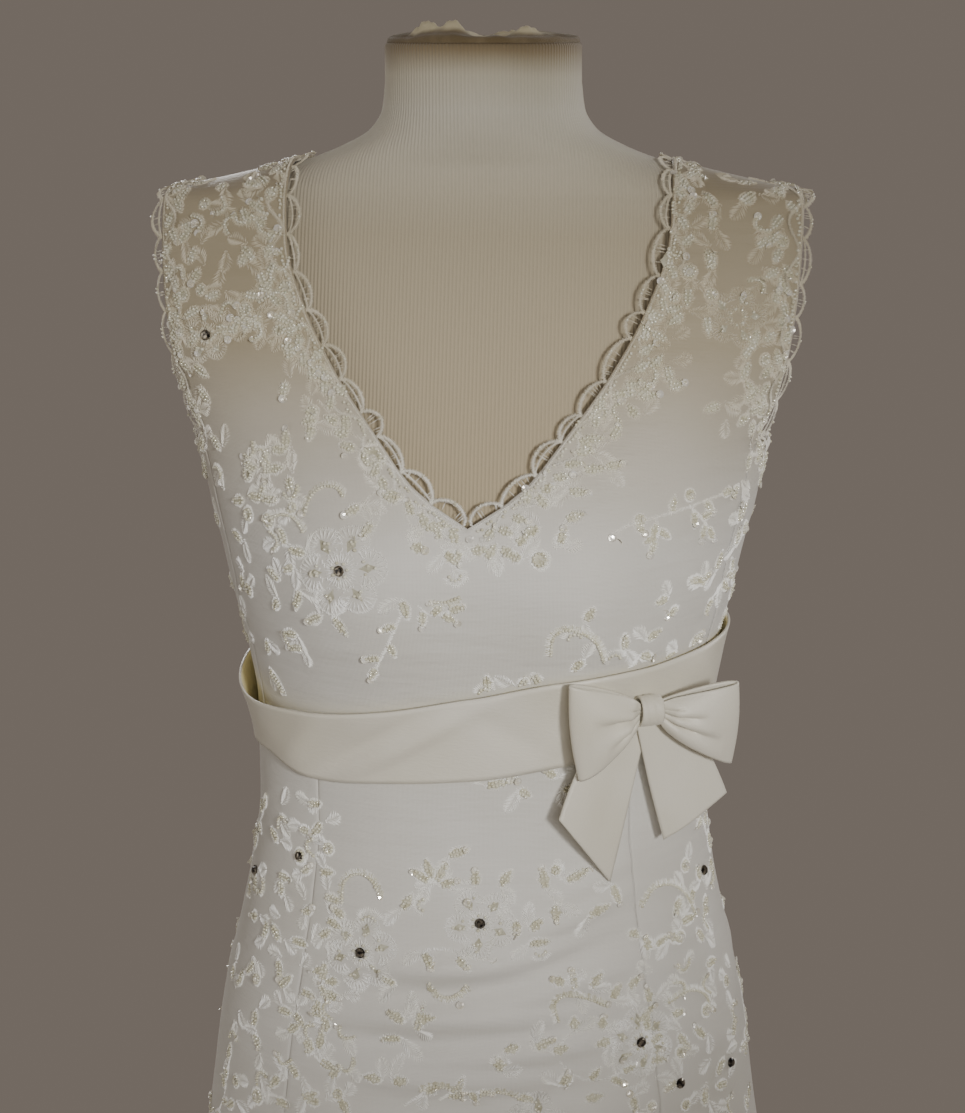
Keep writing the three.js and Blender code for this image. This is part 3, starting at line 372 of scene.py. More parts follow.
def wall(points, faces, lift, thickness):
    """A closed wall: the outer points and faces first, then the inner ones and the rim."""
    normals = vertex_normals(points, faces)
    both = np.concatenate([points + normals * (lift + thickness), points + normals * lift])
    count = len(points)
    edges = np.concatenate([np.stack([faces[:, k], faces[:, (k + 1) % 4]], -1) for k in range(4)])
    keys = edges[:, 0] * count + edges[:, 1]
    opposite = edges[:, 1] * count + edges[:, 0]
    rim = edges[~np.isin(opposite, keys)]
    rim_faces = np.stack([rim[:, 1], rim[:, 0], rim[:, 0] + count, rim[:, 1] + count], -1)
    return both, np.concatenate([faces, faces[:, ::-1] + count, rim_faces])


def mirror(points, faces):
    return points * np.array([-1, 1, 1]), faces[:, ::-1]


# Materials
def linear(red, green, blue):
    """A colour on screen, from 0 to 255, as the light it stands for."""
    tones = np.array([red, green, blue]) / 255
    return (*np.where(tones <= 0.04045, tones / 12.92, ((tones + 0.055) / 1.055) ** 2.4).tolist(), 1)


def new_material(name, **sockets):
    material = bpy.data.materials.new(name)
    material.use_nodes = True
    nodes = material.node_tree.nodes
    shader = nodes["Principled BSDF"]
    for key, value in sockets.items():
        shader.inputs[key.replace("_", " ")].default_value = value
    where = node(nodes, "ShaderNodeTexCoord").outputs["Object"]
    return material, nodes, material.node_tree.links, shader, where


def node(nodes, kind, **settings):
    made = nodes.new(kind)
    for key, value in settings.items():
        if key in made.inputs:
            made.inputs[key].default_value = value
        else:
            setattr(made, key, value)
    return made


def two_tones(nodes, links, shader, vector, light, dark, scale, low=0.35, high=0.65):
    """Drifts the colour between two tones with soft noise."""
    noise = node(nodes, "ShaderNodeTexNoise", Scale=scale, Detail=4.0)
    links.new(vector, noise.inputs["Vector"])
    ramp = node(nodes, "ShaderNodeValToRGB")
    ramp.color_ramp.elements[0].position = low
    ramp.color_ramp.elements[0].color = dark
    ramp.color_ramp.elements[1].position = high
    ramp.color_ramp.elements[1].color = light
    links.new(noise.outputs["Fac"], ramp.inputs["Fac"])
    links.new(ramp.outputs["Color"], shader.inputs["Base Color"])
    return ramp


def bump(nodes, links, shader, heights, distance, strength=1.0):
    """Adds one bump after another to the shader's normal."""
    previous = None
    for height, share in heights:
        made = node(nodes, "ShaderNodeBump", Distance=distance * share, Strength=strength)
        links.new(height, made.inputs["Height"])
        if previous:
            links.new(previous.outputs["Normal"], made.inputs["Normal"])
        previous = made
    links.new(previous.outputs["Normal"], shader.inputs["Normal"])


def grain(nodes, links, shader, scale, distance, strength, detail=2.0):
    """Fine relief from soft noise."""
    noise = node(nodes, "ShaderNodeTexNoise", Scale=scale, Detail=detail)
    bump(nodes, links, shader, [(noise.outputs["Fac"], 1.0)], distance, strength)


def weave(nodes, links, vector, scale):
    """Two crossing sets of threads."""
    waves = []
    for direction in ("X", "Z"):
        wave = node(nodes, "ShaderNodeTexWave", Scale=scale, Distortion=0.6)
        wave.bands_direction = direction
        wave.inputs["Detail"].default_value = 1.0
        links.new(vector, wave.inputs["Vector"])
        waves.append(wave)
    both = node(nodes, "ShaderNodeMath", operation="MULTIPLY")
    links.new(waves[0].outputs["Fac"], both.inputs[0])
    links.new(waves[1].outputs["Fac"], both.inputs[1])
    return both.outputs["Value"]


def paint_shoulder_shade(nodes, links, shader, where, tones, shade_tint):
    """Paints shade into the colour, darker and warmer more and more from the bust up to the shoulders."""
    height = node(nodes, "ShaderNodeSeparateXYZ")
    links.new(where, height.inputs["Vector"])
    shoulder = node(nodes, "ShaderNodeMapRange")
    shoulder.inputs["From Min"].default_value = SHOULDER_SHADE[0] * MM
    shoulder.inputs["From Max"].default_value = SHOULDER_SHADE[1] * MM
    links.new(height.outputs["Z"], shoulder.inputs["Value"])
    warm = node(nodes, "ShaderNodeMix", data_type="RGBA", blend_type="MULTIPLY")
    warm.inputs["B"].default_value = shade_tint
    links.new(shoulder.outputs["Result"], warm.inputs["Factor"])
    links.new(tones.outputs["Color"], warm.inputs["A"])
    links.new(warm.outputs["Result"], shader.inputs["Base Color"])


def dress_material():
    material, nodes, links, shader, where = new_material(
        "dress_cloth", Roughness=0.46, Sheen_Weight=0.25, Sheen_Roughness=0.4, Specular_IOR_Level=0.45
    )
    drift = two_tones(nodes, links, shader, where, linear(215, 213, 207), linear(203, 200, 191), 5)
    # Painted shade: the cloth darkens and warms from the bust up to the shoulders.
    paint_shoulder_shade(nodes, links, shader, where, drift, linear(212, 201, 178))
    crinkle = node(nodes, "ShaderNodeTexNoise", Scale=38.0, Detail=5.0, Roughness=0.55)
    stretch = node(nodes, "ShaderNodeMapping")
    stretch.inputs["Scale"].default_value = (0.32, 0.32, 2.2)
    links.new(where, stretch.inputs["Vector"])
    links.new(stretch.outputs["Vector"], crinkle.inputs["Vector"])
    reliefs = [(crinkle.outputs["Fac"], 1.0), (weave(nodes, links, where, 420.0), 0.12)]
    bump(nodes, links, shader, reliefs, 0.002, 0.6)
    return material


def satin_material():
    material, nodes, links, shader, where = new_material(
        "sash_satin", Roughness=0.36, Sheen_Weight=0.2, Sheen_Roughness=0.3, Specular_IOR_Level=0.5
    )
    two_tones(nodes, links, shader, where, linear(222, 218, 206), linear(213, 208, 192), 9)
    slub = node(nodes, "ShaderNodeTexNoise", Scale=70.0, Detail=3.0)
    reliefs = [(slub.outputs["Fac"], 1.0), (weave(nodes, links, where, 600.0), 0.15)]
    bump(nodes, links, shader, reliefs, 0.0004, 0.5)
    return material


def satin_inside_glow_material():
    """The satin's inner side, painted bright yellow for the light that comes through the satin."""
    material, nodes, links, shader, where = new_material("sash_satin_inside_painted_light", Roughness=0.5, Sheen_Weight=0.2)
    two_tones(nodes, links, shader, where, linear(255, 244, 184), linear(250, 234, 160), 9)
    grain(nodes, links, shader, 70.0, 0.0004, 0.5, 3.0)
    return material


def thread_material():
    material, nodes, links, shader, where = new_material(
        "lace", Roughness=0.42, Sheen_Weight=0.4, Sheen_Roughness=0.3, Specular_IOR_Level=0.55
    )
    drift = two_tones(nodes, links, shader, where, linear(253, 253, 251), linear(240, 239, 232), 60)
    # Painted shade: the thread darkens and warms towards the shoulders, as the cloth does.
    paint_shoulder_shade(nodes, links, shader, where, drift, linear(230, 223, 206))
    grain(nodes, links, shader, 900.0, 0.0003, 0.6)
    return material


def bead_material():
    material, nodes, links, shader, where = new_material(
        "bead", Roughness=0.1, Specular_IOR_Level=0.9, Coat_Weight=1.0, Coat_Roughness=0.04
    )
    two_tones(nodes, links, shader, where, linear(232, 230, 214), linear(206, 201, 174), 240)
    return material


def ground_and_shade_material():
    """The net and thread under the beads: their olive tone, darkened further as painted shade between the
    beads.
    """
    material, nodes, links, shader, where = new_material("lace_ground_and_shade", Roughness=0.6, Sheen_Weight=0.2)
    two_tones(nodes, links, shader, where, linear(206, 203, 184), linear(178, 173, 148), 190)
    grain(nodes, links, shader, 900.0, 0.0004, 0.8)
    return material


def sequin_material():
    material, nodes, links, shader, where = new_material(
        "sequin", Roughness=0.14, Metallic=0.4, Specular_IOR_Level=1.0, Coat_Weight=1.0, Coat_Roughness=0.05
    )
    two_tones(nodes, links, shader, where, linear(250, 249, 245), linear(232, 227, 210), 160)
    return material


def stone_material():
    material, nodes, links, shader, where = new_material(
        "stone", Roughness=0.08, Metallic=0.75, Specular_IOR_Level=0.9
    )
    two_tones(nodes, links, shader, where, linear(150, 142, 128), linear(28, 26, 25), 420, 0.42, 0.6)
    return material


# The cover's tones by height in metres: warm low, paler on the neck, and painted shade in brown at its top
# edge, where the rolled rim is shadowed
JERSEY_TONES_AND_SHADE = [(1.3, (178, 164, 136)), (1.43, (186, 175, 150)), (1.5, (212, 208, 192))]
JERSEY_TONES_AND_SHADE += [(1.52, (206, 200, 180)), (1.533, (150, 134, 104)), (1.54, (112, 95, 66))]
JERSEY_RANGE = (1.0, 1.6)
JERSEY_DRIFT = 0.012


def jersey_material():
    material, nodes, links, shader, where = new_material(
        "form_cover", Roughness=0.92, Sheen_Weight=0.35, Sheen_Roughness=0.6
    )
    ribs = node(nodes, "ShaderNodeAttribute", attribute_name="rib")
    wave = node(nodes, "ShaderNodeMath", operation="SINE")
    links.new(ribs.outputs["Fac"], wave.inputs[0])
    noise = node(nodes, "ShaderNodeTexNoise", Scale=6.0, Detail=5.0)
    links.new(where, noise.inputs["Vector"])
    height = node(nodes, "ShaderNodeSeparateXYZ")
    links.new(where, height.inputs["Vector"])
    drift = node(nodes, "ShaderNodeMath", operation="MULTIPLY_ADD")
    drift.inputs[1].default_value = JERSEY_DRIFT
    links.new(noise.outputs["Fac"], drift.inputs[0])
    links.new(height.outputs["Z"], drift.inputs[2])
    place = node(nodes, "ShaderNodeMapRange")
    low, high = JERSEY_RANGE
    place.inputs["From Min"].default_value = low
    place.inputs["From Max"].default_value = high
    links.new(drift.outputs["Value"], place.inputs["Value"])
    # The ramp's top stops paint the shade of the neck's rolled top edge in brown.
    base = node(nodes, "ShaderNodeValToRGB")
    ramp = base.color_ramp
    for position, tone in JERSEY_TONES_AND_SHADE:
        stop = ramp.elements.new((position + JERSEY_DRIFT / 2 - low) / (high - low))
        stop.color = linear(*tone)
    ramp.elements.remove(ramp.elements[0])
    ramp.elements.remove(ramp.elements[-1])
    links.new(place.outputs["Result"], base.inputs["Fac"])
    # Painted shade in the rib grooves: the colour is multiplied down to 0.925 at the bottom of each rib's
    # wave.
    groove = node(nodes, "ShaderNodeMapRange")
    groove.inputs["From Min"].default_value = -1.0
    groove.inputs["To Min"].default_value = 0.925
    links.new(wave.outputs["Value"], groove.inputs["Value"])
    dark = node(nodes, "ShaderNodeMix", data_type="RGBA", blend_type="MULTIPLY")
    dark.inputs["Factor"].default_value = 1.0
    links.new(base.outputs["Color"], dark.inputs["A"])
    links.new(groove.outputs["Result"], dark.inputs["B"])
    links.new(dark.outputs["Result"], shader.inputs["Base Color"])
    stitch = node(nodes, "ShaderNodeTexNoise", Scale=700.0, Detail=2.0)
    links.new(where, stitch.inputs["Vector"])
    bump(nodes, links, shader, [(wave.outputs["Value"], 0.7), (stitch.outputs["Fac"], 0.9)], 0.0004, 0.6)
    return material


def fold_shade_material():
    """The gathered top of the cover: painted shade in brown at its rim, and the cover's cream on its tufts.
    """
    material, nodes, links, shader, where = new_material("form_cover_fold_painted_shade", Roughness=0.9, Sheen_Weight=0.3)
    light = node(nodes, "ShaderNodeAttribute", attribute_name="light")
    drift = node(nodes, "ShaderNodeTexNoise", Scale=90.0, Detail=3.0)
    links.new(where, drift.inputs["Vector"])
    soft = node(nodes, "ShaderNodeMath", operation="MULTIPLY_ADD")
    soft.inputs[1].default_value = 0.35
    links.new(drift.outputs["Fac"], soft.inputs[0])
    links.new(light.outputs["Fac"], soft.inputs[2])
    ramp = node(nodes, "ShaderNodeValToRGB")
    ramp.color_ramp.elements[0].position = 0.15
    ramp.color_ramp.elements[0].color = linear(120, 104, 74)
    ramp.color_ramp.elements[1].position = 0.9
    ramp.color_ramp.elements[1].color = linear(222, 212, 178)
    links.new(soft.outputs["Value"], ramp.inputs["Fac"])
    links.new(ramp.outputs["Color"], shader.inputs["Base Color"])
    grain(nodes, links, shader, 700.0, 0.0004, 0.6)
    return material


def stand_material():
    material, nodes, links, shader, where = new_material("stand_metal", Roughness=0.38, Metallic=0.5)
    two_tones(nodes, links, shader, where, linear(62, 58, 55), linear(48, 45, 43), 14)
    grain(nodes, links, shader, 500.0, 0.0002, 0.4)
    return material


def floor_material():
    material, nodes, links, shader, where = new_material("floor", Roughness=0.8)
    two_tones(nodes, links, shader, where, linear(206, 202, 196), linear(200, 196, 190), 2)
    return material


CLOTH_MATERIAL = dress_material()
SATIN = satin_material()
SATIN_INSIDE_GLOW = satin_inside_glow_material()
THREAD = thread_material()
BEAD = bead_material()
GROUND_AND_SHADE = ground_and_shade_material()
SEQUIN = sequin_material()
STONE = stone_material()
JERSEY = jersey_material()
FOLDED_JERSEY_SHADED = fold_shade_material()
STAND = stand_material()


def finish_piece(obj, slot, *replaced):
    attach(obj, "root")
    if replaced:
        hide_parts(*replaced)
    return obj


# The camera, the lights and the floor
def camera_frame():
    azimuth, pitch = math.radians(CAMERA_AZIMUTH), math.radians(CAMERA_PITCH)
    place = np.array(
        [CAMERA_DISTANCE * math.sin(azimuth), -CAMERA_DISTANCE * math.cos(azimuth), CAMERA_HEIGHT]
    )
    right = np.array([math.cos(azimuth), math.sin(azimuth), 0])
    ahead = np.array([-math.sin(azimuth), math.cos(azimuth), 0])
    forward = ahead * math.cos(pitch) - np.array([0, 0, math.sin(pitch)])
    up = np.cross(right, forward)
    return place, right, up, forward


def pixel_ray(x, y):
    place, right, up, forward = camera_frame()
    across = (x - PHOTO_SIZE[0] / 2) / FOCAL_PIXELS
    rise = (PHOTO_SIZE[1] / 2 - y) / FOCAL_PIXELS
    return place, unit(forward + right * across + up * rise)


def make_camera():
    place, _, _, forward = camera_frame()
    data = bpy.data.cameras.new("camera")
    data.lens = SENSOR * FOCAL_PIXELS / PHOTO_SIZE[1]
    data.sensor_width = SENSOR
    data.clip_end = 30
    camera = bpy.data.objects.new("camera", data)
    bpy.context.scene.collection.objects.link(camera)
    camera.location = place * MM
    camera.rotation_euler = Vector(forward).to_track_quat("-Z", "Y").to_euler()
    bpy.context.scene.camera = camera


def add_light(name, kind, place, aim, energy, color, **settings):
    data = bpy.data.lights.new(name, kind)
    data.energy = energy
    data.color = color
    for key, value in settings.items():
        setattr(data, key, value)
    light = bpy.data.objects.new(name, data)
    light.location = place
    light.rotation_euler = (Vector(aim) - Vector(place)).to_track_quat("-Z", "Y").to_euler()
    bpy.context.scene.collection.objects.link(light)


# The soft lights round the dress, in metres and watts: name, place, aim, energy, colour, size
KEY_LIGHT = ("key", (0.5, -2.1, 1.7), (0, 0, 1.15), 9, (1, 0.985, 0.955), 0.7)
OTHER_LIGHTS = [
    ("fill", (-2.2, -1.0, 1.3), (0, 0, 1.0), 9, (1, 0.97, 0.92), 1.4),
    ("behind", (-0.9, 2.5, 1.7), (0, 0, 1.0), 26, (1, 0.985, 0.96), 1.2),
    ("behind_right", (2.1, 1.5, 1.8), (0, 0, 1.0), 20, (1, 0.985, 0.96), 1.2),
]
# A soft pool of light on the dress's middle, which is brighter in the photograph
POOL_PLACE = (0.98, -2.1, 1.78)
POOL_AIM = (0.0, -0.1, 1.2)
POOL_ENERGY = 152
POOL_COLOR = (1, 0.99, 0.97)
POOL_CONE = 19.5
POOL_SOFTNESS = 0.15
BACKDROP = (118, 109, 101)
BACKDROP_STRENGTH = 0.95
FLOOR_SIZE = 3.0


def studio_light(name, place, aim, energy, color, size):
    add_light(name, "AREA", place, aim, energy, color, size=size)


def make_stage():
    world = bpy.data.worlds.new("world")
    bpy.context.scene.world = world
    world.use_nodes = True
    background = world.node_tree.nodes["Background"]
    background.inputs["Color"].default_value = linear(*BACKDROP)
    background.inputs["Strength"].default_value = BACKDROP_STRENGTH
    studio_light(*KEY_LIGHT)
    cone = {"spot_size": math.radians(POOL_CONE), "spot_blend": 1.0, "shadow_soft_size": POOL_SOFTNESS}
    add_light("pool", "SPOT", POOL_PLACE, POOL_AIM, POOL_ENERGY, POOL_COLOR, **cone)
    for light in OTHER_LIGHTS:
        studio_light(*light)
    bpy.ops.mesh.primitive_plane_add(size=FLOOR_SIZE, location=(0, 0, 0))
    floor = bpy.context.object
    floor.name = "floor"
    floor.data.materials.append(floor_material())


# The dress's panels
# Columns lie closer together towards a panel's side, as on an arc of this many degrees
SPREAD = 67
SHOULDER_Z = 1468


def spread(share):
    return np.sin(np.radians(share * SPREAD)) / math.sin(math.radians(SPREAD))


def arm_edge(table, seam_share):
    corner = (ARMHOLE_CORNER_Z, float(seam_share * dress.half(ARMHOLE_CORNER_Z)))
    keys, values = zip(corner, *table)
    curve = Curve(keys, values)
    return lambda z: np.where(z < ARMHOLE_CORNER_Z, seam_share * dress.half(z), curve(z))


class Strap:
    """One strap on the +X side, from its foot to the shoulder."""

    def __init__(self, side, foot, inner, outer, least):
        self.side = side
        self.foot = foot
        self.least = least
        self.inner_curve = Curve(*zip(*inner))
        self.outer = outer

    def inner(self, z):
        return np.maximum(self.least, self.inner_curve(z))

    def edge(self, curve, share):
        up = np.sin(share * math.pi / 2)
        x = curve(self.foot + (SHOULDER_Z - self.foot) * up)
        for _ in range(8):
            x = curve(self.foot + (dress.ridge(x) - self.foot) * up)
        return x

    def point(self, across, share):
        across, share = np.broadcast_arrays(np.asarray(across, float), np.asarray(share, float))
        x = mix(self.edge(self.inner, share), self.edge(self.outer, share), across)
        z = self.foot + (dress.ridge(x) - self.foot) * np.sin(share * math.pi / 2)
        point = dress.beside(x, z, self.side)
        point[..., 1] += self.side * (SEAM_GAP / 2) * share
        return point

    def share_at(self, z):
        top = dress.ridge(self.outer(z))
        return 2 / math.pi * np.arcsin((z - self.foot) / (top - self.foot))


front_strap = Strap(FRONT, V_POINT_Z, FRONT_NECKLINE, arm_edge(FRONT_ARMHOLE, SIDE_FRONT_SHARE), 0)
back_strap = Strap(BACK, BACK_NECK_Z, BACK_NECKLINE, arm_edge(BACK_ARMHOLE, SIDE_BACK_SHARE), SEAM_GAP / 2)


def strap_rows(count):
    """Shares up a strap, closer together where it rounds the shoulder."""
    return np.sin(np.linspace(0, 1, count + 1)[1:] * math.pi / 2) ** 0.9


def bodice_front_sheet():
    half, low_rows, high_rows = 44, 36, 62
    sheet = Sheet()
    share = np.arange(-half, half + 1) / half
    columns = np.sign(share) * spread(np.abs(share))
    heights = np.linspace(WAIST_SEAM_Z + SEAM_GAP / 2, V_POINT_Z, low_rows)
    lines = [sheet.add(dress.beside(columns * front_strap.outer(z), z, FRONT)) for z in heights]
    sheet.grid(lines)
    across = spread(np.arange(half + 1) / half)
    right, left = lines[-1][half:], lines[-1][: half + 1]
    for up in strap_rows(high_rows):
        points = front_strap.point(across, up)
        next_right = sheet.add(points)
        next_left = sheet.add(points[::-1] * np.array([-1, 1, 1]))
        sheet.strip(right, next_right)
        sheet.strip(left, next_left)
        right, left = next_right, next_left
    return sheet


def bodice_back_sheet():
    half, low_rows, high_rows = 34, 56, 40
    sheet = Sheet()
    across = spread(np.arange(half + 1) / half)[::-1]
    lower = None
    for z in np.linspace(WAIST_SEAM_Z + SEAM_GAP / 2, BACK_NECK_Z, low_rows):
        x = mix(SEAM_GAP / 2, back_strap.outer(z), across)
        upper = sheet.add(dress.beside(x, z, BACK))
        if lower is not None:
            sheet.strip(lower, upper)
        lower = upper
    for up in strap_rows(high_rows):
        upper = sheet.add(back_strap.point(across, up))
        sheet.strip(lower, upper)
        lower = upper
    return sheet


def underarm(share):
    return UNDERARM_Z + (ARMHOLE_CORNER_Z - UNDERARM_Z) * np.abs(2 * share - 1) ** 2.2


def side_point(across, up):
    across, up = np.broadcast_arrays(np.asarray(across, float), np.asarray(up, float))
    z = mix(WAIST_SEAM_Z + SEAM_GAP / 2, underarm(across), up)
    gap = np.degrees(SEAM_GAP * 1.2 / dress.half(z))
    first = dress.angle_of(SIDE_FRONT_SHARE, z) + gap
    last = 180 - dress.angle_of(SIDE_BACK_SHARE, z) - gap
    return dress.at(mix(first, last, across), z)


def bodice_side_sheet():
    across, up = np.meshgrid(np.linspace(0, 1, 33), np.linspace(0, 1, 44))
    return grid_sheet(side_point(across, up))


# Rows of a gore below and above the heights where its spacing changes
HIP_BREAK = (836, 842)
SKIRT_ROWS = 38
PLAIN_ROWS = 56
CREASED_ROWS = 118


def gore_sheet(first, last, columns):
    """A gore, its rows closer together above the hip, most of all in front where the creases show."""
    rows = CREASED_ROWS if first < 0 else PLAIN_ROWS
    low, high = HIP_BREAK
    top = WAIST_SEAM_Z - SEAM_GAP / 2
    heights = np.concatenate([np.linspace(HEM_Z, low, SKIRT_ROWS), np.linspace(high, top, rows)])
    share, z = np.meshgrid(np.linspace(0, 1, columns + 1), heights)
    gap = np.degrees(SEAM_GAP * 0.6 / dress.half(z))
    return grid_sheet(dress.at(mix(first + gap, last - gap, share), z))


PANELS = []


def make_panel(name, points, faces):
    solid, solid_faces = wall(points, faces, 0, CLOTH)
    PANELS.append((solid[: len(points)], faces))
    obj = mesh_object(name + "_cloth", solid, solid_faces, CLOTH_MATERIAL)
    return finish_piece(obj, "dress_cloth", name)


def make_panels():
    made = {}
    front = bodice_front_sheet()
    made["bodice_front"] = make_panel("bodice_front", front.points(), front.faces())
    for name, sheet in (("bodice_back", bodice_back_sheet()), ("bodice_side", bodice_side_sheet())):
        points, faces = sheet.points(), sheet.faces()
        made[name + "_right"] = make_panel(name + "_right", points, faces)
        made[name + "_left"] = make_panel(name + "_left", *mirror(points, faces))
    for name, first, last, columns in GORES:
        sheet = gore_sheet(first, last, columns)
        made[name] = make_panel(name, sheet.points(), sheet.faces())
    return made


# The sash and the bow
SASH_CURVES = [Curve([row[0] for row in SASH], [row[k] for row in SASH]) for k in (1, 2, 3)]
# Slanting folds of the sash: angle at its middle, lean to its top, half width and rise
SASH_FOLDS = [(-14, 36, 5, 3.4), (-25, 34, 4.5, -2.2), (-44, 16, 5, 1.8), (8, -22, 4, -1.2)]
SASH_FOLDS += [(24, 20, 4, 1.2)]
SASH_FOLDS += [(-85, 18, 6, 1.8), (70, -20, 6, 1.8), (112, 22, 7, -1.4), (150, -18, 6, 1.6)]
SASH_FOLDS += [(-140, 20, 7, -1.4)]


def sash_point(angle, up):
    """A point of the sash's inside, with its soft waves."""
    angle, up = np.broadcast_arrays(np.asarray(angle, float), np.asarray(up, float))
    turn = turn_between(angle, 0)
    bottom, top, gape = (curve(turn) for curve in SASH_CURVES)
    z = mix(bottom, top, up)
    under, normal = under_sash.at(angle, z), under_sash.normal(angle, z)
    wave = 0.5 * np.sin(np.radians(turn * 5.3) + 3.1 * up) + 0.35 * np.sin(np.radians(turn * 11.7) - 4.6 * up)
    for middle, lean, wide, rise_by in SASH_FOLDS:
        wave += rise_by * np.exp(-(((turn - middle - (up - 0.5) * lean) / wide) ** 2))
    wave *= 4 * up * (1 - up) * (1 - np.exp(-(((turn - BOW_ANGLE) / 9) ** 2)))
    puff = 1.1 * (1 - (2 * up - 1) ** 4)
    return under + normal * (CLOTH + SASH_LIFT + gape * up**1.6 + puff * 0.4 + wave + 0.5)[..., None]


SASH_SIDES = []


def make_sash():
    """The sash all round, joined at the back, its inner side painted bright yellow for the light through the
    satin.
    """
    angle, up = np.meshgrid(np.linspace(-180, 180, 320), np.linspace(0, 1, 18))
    sheet = grid_sheet(sash_point(angle, up))
    points, faces = sheet.points(), sheet.faces()
    solid, solid_faces = wall(points, faces, 0, SASH_CLOTH)
    SASH_SIDES.append((solid[: len(points)], faces))
    obj = mesh_object("sash_satin", solid, solid_faces, SATIN)
    # The inner faces take the painted light of the satin's inside.
    obj.data.materials.append(SATIN_INSIDE_GLOW)
    inside = [1 if len(faces) <= k < 2 * len(faces) else 0 for k in range(len(obj.data.polygons))]
    obj.data.polygons.foreach_set("material_index", inside)
    return finish_piece(obj, "sash_satin", "sash_front", "sash_side")


def bow_place(u, v, w):
    seat = dress_seat(BOW_ANGLE, BOW_HEIGHT_SHARE)
    yaw, tilt = math.radians(BOW_YAW), math.radians(BOW_TILT)
    along = np.array([math.cos(yaw), math.sin(yaw), 0])
    level = np.array([math.sin(yaw), -math.cos(yaw), 0])
    rise = np.array([0, 0, 1.0])
    out = level * math.cos(tilt) - rise * math.sin(tilt)
    up = rise * math.cos(tilt) + level * math.sin(tilt)
    return seat + u[..., None] * along + v[..., None] * up + w[..., None] * out


def dress_seat(angle, share):
    """The middle of the bow's back, just off the sash."""
    bottom, top, gape = (float(curve(angle)) for curve in SASH_CURVES)
    z = mix(bottom, top, share)
    lift = CLOTH + SASH_LIFT + gape * share**1.6 + SASH_CLOTH + BOW_STAND_OFF
    return dress.at(angle, z) + dress.normal(angle, z) * lift


def loop_sheet(side, top, bottom, reach_top, reach_bottom, rise):
    """A band of ribbon out to the fold and back, gathered at the knot, with soft folds in its front."""
    path, across = np.meshgrid(np.linspace(0.001, 0.999, 97), np.linspace(0, 1, 37))
    path = 0.5 - 0.5 * np.cos(math.pi * path)
    reach = mix(reach_bottom, reach_top, across)
    around = np.sin(math.pi * path)
    u = LOOP_START + (reach - LOOP_START) * around**0.75
    opening = np.clip((u - KNOT_HALF_WIDTH) / (reach - KNOT_HALF_WIDTH), 0, None) ** LOOP_OPENING
    v = mix(-mix(LOOP_NECK, bottom, opening), mix(LOOP_NECK, top, opening), across)
    bulge = LOOP_BULGE * np.sin(math.pi * across) * np.clip(opening, 0, 1) ** 6
    near = np.clip((u - KNOT_HALF_WIDTH) / 9, 0, 1)
    pleat = LOOP_PLEAT * (1 - opening) * np.cos(3 * math.pi * across) * around
    half = mix(LOOP_HALF_DEPTH[0], LOOP_HALF_DEPTH[1], around)
    w = LOOP_MIDDLE + rise * opening + half * np.cos(math.pi * path) + pleat
    front = path < 0.5
    full = np.sin(math.pi * np.clip(across * 1.02, 0, 1)) ** 0.7 * near * (1 - opening**5)
    w = w + np.where(front, LOOP_PUFF * full, 0)
    far = np.clip((u - KNOT_HALF_WIDTH) / (reach - KNOT_HALF_WIDTH), 0, 1)
    for foot, run, deep, wide in LOOP_FOLDS[side]:
        middle = 0.5 + (foot - 0.5) * (0.6 + 0.6 * far)
        fade = np.clip(near * 1.6, 0, 1) * np.clip(1 - far / run, 0, 1) ** 0.8
        off = (across - middle) / (wide * (0.8 + 1.2 * far))
        steep = np.where(off > 0, FOLD_LIP, FOLD_FOOT)
        w = w - np.where(front, deep * fade * np.exp(-((off / steep) ** 2)), 0)
    points = bow_place(side * (u + bulge), v, w)
    return grid_sheet(points if side > 0 else points[:, ::-1])


def tail_sheet(start, first, last, opening, out, rise):
    """A flat tail, curling a little across itself, its start behind the knot."""
    across, up = np.meshgrid(np.linspace(0, 1, 22), np.linspace(-1, 0, 50))
    down = -up
    end_u, end_v = mix(first[0], last[0], across), mix(first[1], last[1], across)
    u = mix(mix(start[0], start[1], across), end_u, down ** mix(*opening, across))
    v = mix(TAIL_START[0], end_v, down)
    wide, fine = TAIL_CURLS
    curl = wide * np.sin(math.pi * across) * down
    curl = curl + fine * np.sin(2.4 * math.pi * across) * down * (1.3 - down)
    curl += rise * (1 - across) * np.clip(down / 0.05, 0, 1) * np.exp(-((down / 0.38) ** 2))
    return grid_sheet(bow_place(u, v, mix(TAIL_START[1], out, down**TAIL_LIFT) + curl))


def knot_sheet():
    turn, u = np.meshgrid(np.linspace(0, 2 * math.pi, 49)[:-1], np.linspace(-1, 1, 15), indexing="ij")
    crease = 0.35 * np.cos(u * 9 + np.sin(turn) * 1.5)
    height = KNOT_HALF_HEIGHT - BOW_CLOTH - 0.5 * u**2 + crease * 0.5
    depth = KNOT_DEPTH / 2 - BOW_CLOTH + crease * 0.6
    width = KNOT_HALF_WIDTH * (1 + 0.04 * np.cos(turn))
    points = bow_place(u * width, height * np.sin(turn), KNOT_DEPTH / 2 + depth * np.cos(turn))
    sheet = Sheet()
    index = sheet.add(points)
    for k in range(len(index)):
        sheet.strip(index[k], index[(k + 1) % len(index)])
    return sheet


def make_bow():
    sheets = {name: loop_sheet(*rest) for name, *rest in LOOPS}
    sheets |= {name: tail_sheet(*rest) for name, *rest in TAILS}
    sheets["bow_knot"] = knot_sheet()
    made = {}
    for name, sheet in sheets.items():
        solid, faces = wall(sheet.points(), sheet.faces(), 0, BOW_CLOTH)
        made[name] = finish_piece(mesh_object(name + "_satin", solid, faces, SATIN), "sash_satin", name)
    return made


